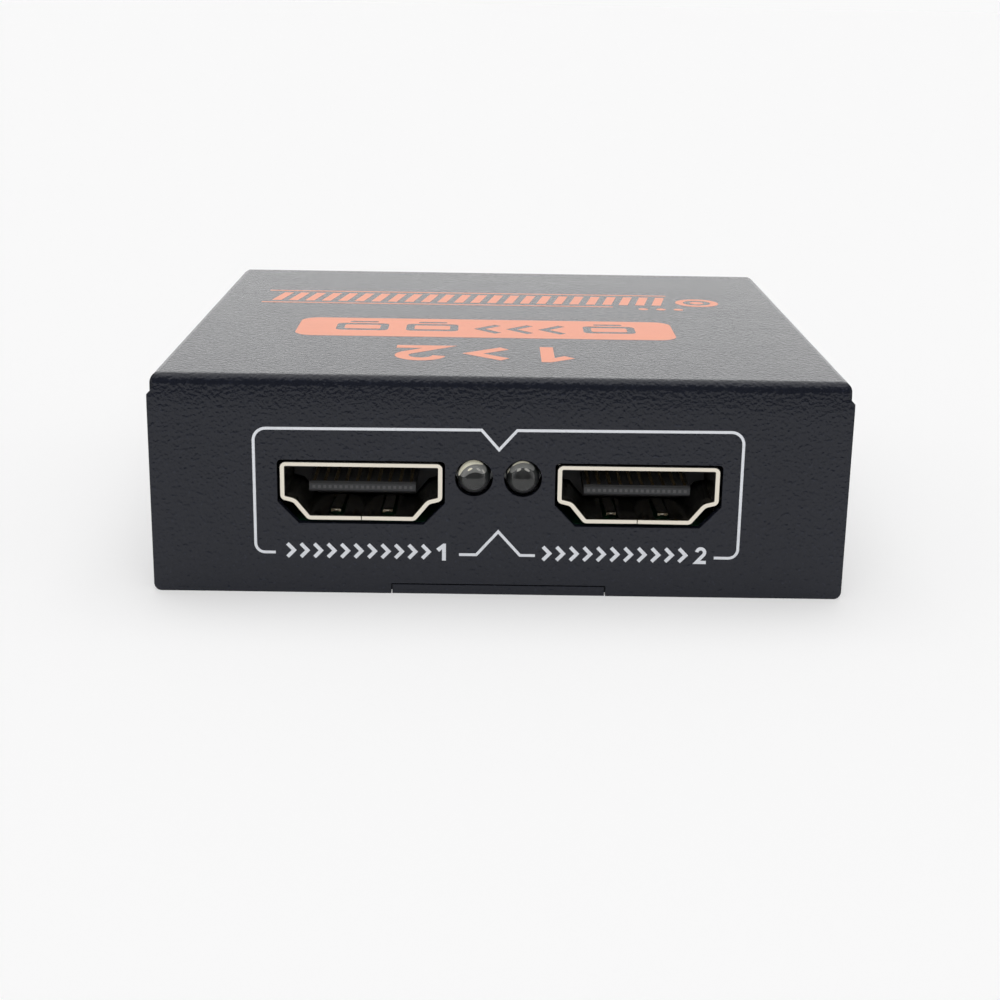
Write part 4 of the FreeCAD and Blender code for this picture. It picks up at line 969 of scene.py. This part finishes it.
@undoable
class SPLITTER_OT_front_print(bpy.types.Operator):
    """White frame line round the sockets, with arrows and figures"""

    bl_idname = "splitter.front_print"
    bl_label = "Front print"

    def execute(self, context):
        style = context.scene.splitter_print
        ink = printed_ink("white_ink", tuple(style.white), 0.55)

        # The layer stands upright on the front panel, sunk by a quarter of its thickness
        upright = Matrix.Rotation(math.radians(90), 4, "X")
        stand = Matrix.Translation((0, FRONT_FACE - style.layer / 4, 0)) @ upright
        lay = partial(lay_ink, ink=ink, layer=style.layer, stand=stand)

        # Frame line, in millimetres: sides, foot, shoulders and its two sizes of corner
        left, right = -22.54, 22.18
        low, high_left, high_right = 3.90, 15.73, 15.95
        high = (high_left + high_right) / 2
        corner, foot = 1.15, 0.85
        left_end, right_end = (-20.7, low), (20.0, low)
        dip = [(-1.75, high), (-0.13, 14.0), (1.5, high)]
        frame_path = np.vstack([
            [left_end],
            arc((left + foot, low + foot), foot, 270, 180),
            arc((left + corner, high_left - corner), corner, 180, 90),
            dip,
            arc((right - corner, high_right - corner), corner, 90, 0),
            arc((right - foot, low + foot), foot, 0, -90),
            [right_end],
        ])
        peak_path = [(-3.7, low), (-2.1, low), (-0.1, 6.18), (1.95, low), (3.35, low)]
        lay("front_frame_line", [ribbon(path, style.line) for path in (frame_path, peak_path)])

        # Under each socket a row of arrowheads that ends in the socket's figure
        height, middle = 1.65, 4.12
        arrowhead = chevron(1.29, 0.62, 0.34)
        arrows, gap = 11, 1.7
        for name, first, last, figure in (
            ("1", -19.3, -5.1, figure_one(height, 0.36)),
            ("2", 4.4, 18.75, figure_two(height, 1.05, 0.32)),
        ):
            marks = [moved(figure, last, middle)]
            marks += [moved(arrowhead, x, middle) for x in np.linspace(first, last - gap, arrows)]
            lay("front_marks_" + name, marks)
        return {"FINISHED"}


def screen_sign(x, y):
    """Outlines of a screen pictogram: a frame with a clear middle and a foot under it."""
    half_width, half_height, line = 2.7, 1.9, 0.85
    inner_width, inner_height = half_width - line, half_height - line
    lift = 0.4
    outlines = (
        rounded_box((-half_width, -half_height), (half_width, half_height), 0.7),
        rounded_box((-inner_width, -inner_height), (inner_width, inner_height), 0.3),
        rounded_box((-1.5, -half_height - 1.2), (1.5, -half_height - 0.5), 0.3),
    )
    return [moved(outline, x, y + lift, turned=True) for outline in outlines]


@undoable
class SPLITTER_OT_top_print(bpy.types.Operator):
    """Orange print on the cover: figures, a solid band of pictograms and a striped strip"""

    bl_idname = "splitter.top_print"
    bl_label = "Top print"

    def execute(self, context):
        style = context.scene.splitter_print
        ink = printed_ink("orange_ink", tuple(style.orange), 0.34)
        front = FRONT_FACE / MM
        stroke = style.big_stroke

        # The layer lies in the cover's face and stands out of it by a fifth of its thickness
        stand = Matrix.Translation((0, 0, TOP_FACE - 0.3 * style.layer))
        lay = partial(lay_ink, ink=ink, layer=style.layer, stand=stand)

        # Figures 1 and 2 with an arrowhead between them, read from behind
        height = 7.2
        middle = front + 11.35
        figures = [
            moved(figure_one(height, stroke), 4.47, middle, turned=True),
            moved(chevron(height * 0.72, 3.1, stroke), -1.2, middle, turned=True),
            moved(figure_two(height, 4.9, stroke), -7.76, middle, turned=True),
        ]
        lay("top_figures", figures)

        # Solid band with one screen, three arrowheads and two screens left clear
        low, high = front + 19.4, front + 29.35
        middle = (low + high) / 2 - 0.3
        band = [rounded_box((-20.96, low), (17.97, high), 1.95)]
        for x in (11.31, -7.07, -14.31):
            band += screen_sign(x, middle)
        for x in (5.45, 2.12, -1.2):
            band.append(moved(chevron(4.3, 1.95, 0.9), x, middle, turned=True))
        lay("top_band", band)

        # Strip with slanted bars between two thin lines, the lower one shorter
        low, high = front + 38.32, front + 46.52
        left, right_low, right_high = -26.63, 12.68, 19.33
        thin, inset = 0.45, 1.5
        bar, lean, pitch = 1.03, 0.88, 1.86
        strip = [
            np.array([(left, y), (right, y), (right, y + thin), (left, y + thin)])
            for y, right in ((low, right_low), (high - thin, right_high))
        ]
        bottom, top = low + inset, high - inset
        slanted = np.array([(0, bottom), (bar, bottom), (bar + lean, top), (lean, top)])
        strip += [moved(slanted, x, 0) for x in np.arange(-25.65, 17.6, pitch)]
        lay("top_strip", strip)

        # Ring with a dot in it and three dots in a row beside the strip
        centre = (22.46, front + 41.83)
        target = [arc(centre, radius, 0, 348, 30) for radius in (2.45, 1.57, 0.78)]
        target += [arc((x, front + 37.35), 0.54, 0, 330, 12) for x in (16.0, 17.97, 19.92)]
        lay("top_target", target)
        return {"FINISHED"}


@undoable
class SPLITTER_OT_cover_screws(bpy.types.Operator):
    """Countersunk screws with cross recesses, two in each side"""

    bl_idname = "splitter.cover_screws"
    bl_label = "Cover screws"

    def execute(self, context):
        low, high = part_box("cover_screws")
        radius = 2.05 * MM
        height = (low.z + high.z) / 2
        place_y = high.y - radius
        places = ((1, -place_y), (1, place_y), (-1, -place_y), (-1, place_y))
        for number, (side, y) in enumerate(places, 1):
            piece = screw_head(f"cover_screw_{number}", radius)
            stand = Matrix.Translation((side * high.x, y, height))
            turn = Matrix.Rotation(math.radians(20 + 25 * number), 4, "X")
            face = Matrix.Rotation(math.radians(90 * side), 4, "Y")
            piece.data.transform(stand @ turn @ face)
            clean_mesh(piece)
            shade_smooth(piece, 40)
            finish_piece(piece, material_for("black_screw"), "black_screw")
        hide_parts("cover_screws")
        return {"FINISHED"}


@undoable
class SPLITTER_OT_sockets(bpy.types.Operator):
    """Rolled shells, mouldings and contacts of the three video sockets"""

    bl_idname = "splitter.sockets"
    bl_label = "Sockets"

    def execute(self, context):
        parts = context.scene.splitter_parts
        grey = moulded("contact_ends", tuple(parts.ends), 0.5)
        for socket in SOCKETS:
            low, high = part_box(socket + "_shell")
            rim = low.y if low.y < 0 else high.y
            dressed_node(socket + "_shell", parts.shell_roll, 5, rim)
            dressed_node(socket + "_insulator", parts.mould_roll * 0.5, 1)
            centre = Vector(((low.x + high.x) / 2, rim, parts.socket_height))
            finish_piece(contact_ends(socket + "_tips", centre), grey, "gold_contact")
        return {"FINISHED"}


@undoable
class SPLITTER_OT_lamps(bpy.types.Operator):
    """Clear lamps with dome and flange, a grey core of painted shade and films over it of painted
    highlights, painted glints, grey painted reflection and dark marks
    """

    bl_idname = "splitter.lamps"
    bl_label = "Lamps"

    def execute(self, context):
        parts = context.scene.splitter_parts
        steps = parts.lamp_steps
        # Painted shade with faint painted light for the core, and painted highlights, glints and
        # reflection for the films
        grey = painted_lamp_light("core", tuple(parts.painted_shade_core), CORE_PAINTED_LIGHT)
        shades = {name: painted_lamp_light(name, *look) for name, look in PAINTED_LAMP_LOOKS.items()}
        for lamp in LAMPS:
            low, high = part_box(lamp + "_lens")
            stand = Matrix.Translation(((low.x + high.x) / 2, low.y, (low.z + high.z) / 2))
            dome = lamp_dome(lamp + "_dome", (high.z - low.z) / 2, high.y - low.y, steps)
            self.place(dome, stand, 40, material_for("clear_epoxy"), lamp + "_lens")
            self.place(painted_shade_core(lamp + "_core", steps), stand, 50, grey)
            for number, (shade, *angles) in enumerate(PAINTED_LAMP_FILMS[lamp], 1):
                radius = GREY_FILM if shade == "grey" else FILM
                film = painted_lamp_film(f"{lamp}_film_{number}", radius, *np.radians(angles))
                self.place(film, stand, 60, shades[shade])
        return {"FINISHED"}

    def place(self, piece, stand, crease, material, *nodes):
        """Stand a piece in its lamp and finish it."""
        piece.data.transform(stand)
        shade_smooth(piece, crease)
        finish_piece(piece, material, "clear_epoxy", *nodes)


@undoable
class SPLITTER_OT_power_jack(bpy.types.Operator):
    """Moulded jack housing and its pin"""

    bl_idname = "splitter.power_jack"
    bl_label = "Power jack"

    def execute(self, context):
        roll = context.scene.splitter_parts.mould_roll
        dressed_node("power_jack_housing", roll * 2, 3)
        dressed_node("power_jack_pin", roll, 2)
        return {"FINISHED"}


@undoable
class SPLITTER_OT_stage(bpy.types.Operator):
    """Floor, light and camera"""

    bl_idname = "splitter.stage"
    bl_label = "Stage"

    def execute(self, context):
        for make in (make_floor, make_world, make_lights, make_camera):
            make(context.scene.splitter_stage)
        return {"FINISHED"}


class SPLITTER_PT_panel(bpy.types.Panel):
    """Lists the operators in the sidebar"""

    bl_label = "Splitter"
    bl_idname = "SPLITTER_PT_panel"
    bl_space_type = "VIEW_3D"
    bl_region_type = "UI"
    bl_category = "Splitter"

    def draw(self, context):
        for operator in OPERATORS:
            self.layout.operator(operator.bl_idname)


SETTINGS = {
    "splitter_coat": CoatSettings,
    "splitter_print": PrintSettings,
    "splitter_parts": PartSettings,
    "splitter_stage": StageSettings,
}
OPERATORS = (
    SPLITTER_OT_board,
    SPLITTER_OT_housing,
    SPLITTER_OT_front_print,
    SPLITTER_OT_top_print,
    SPLITTER_OT_cover_screws,
    SPLITTER_OT_sockets,
    SPLITTER_OT_lamps,
    SPLITTER_OT_power_jack,
    SPLITTER_OT_stage,
)


def register():
    for name, settings in SETTINGS.items():
        bpy.utils.register_class(settings)
        setattr(bpy.types.Scene, name, PointerProperty(type=settings))
    for operator in OPERATORS:
        bpy.utils.register_class(operator)
    bpy.utils.register_class(SPLITTER_PT_panel)


def unregister():
    bpy.utils.unregister_class(SPLITTER_PT_panel)
    for operator in reversed(OPERATORS):
        bpy.utils.unregister_class(operator)
    for name, settings in reversed(SETTINGS.items()):
        delattr(bpy.types.Scene, name)
        bpy.utils.unregister_class(settings)


def corners(bounds):
    """A box as plain lists of numbers."""
    return [[float(value) for value in corner] for corner in bounds]


def main():
    """Build the whole scene."""
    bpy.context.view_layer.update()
    register()
    bpy.context.scene.view_settings.view_transform = "Standard"
    for operator in OPERATORS:
        group_name, name = operator.bl_idname.split(".")
        getattr(getattr(bpy.ops, group_name), name)()


if __name__ == "__main__":
    main()
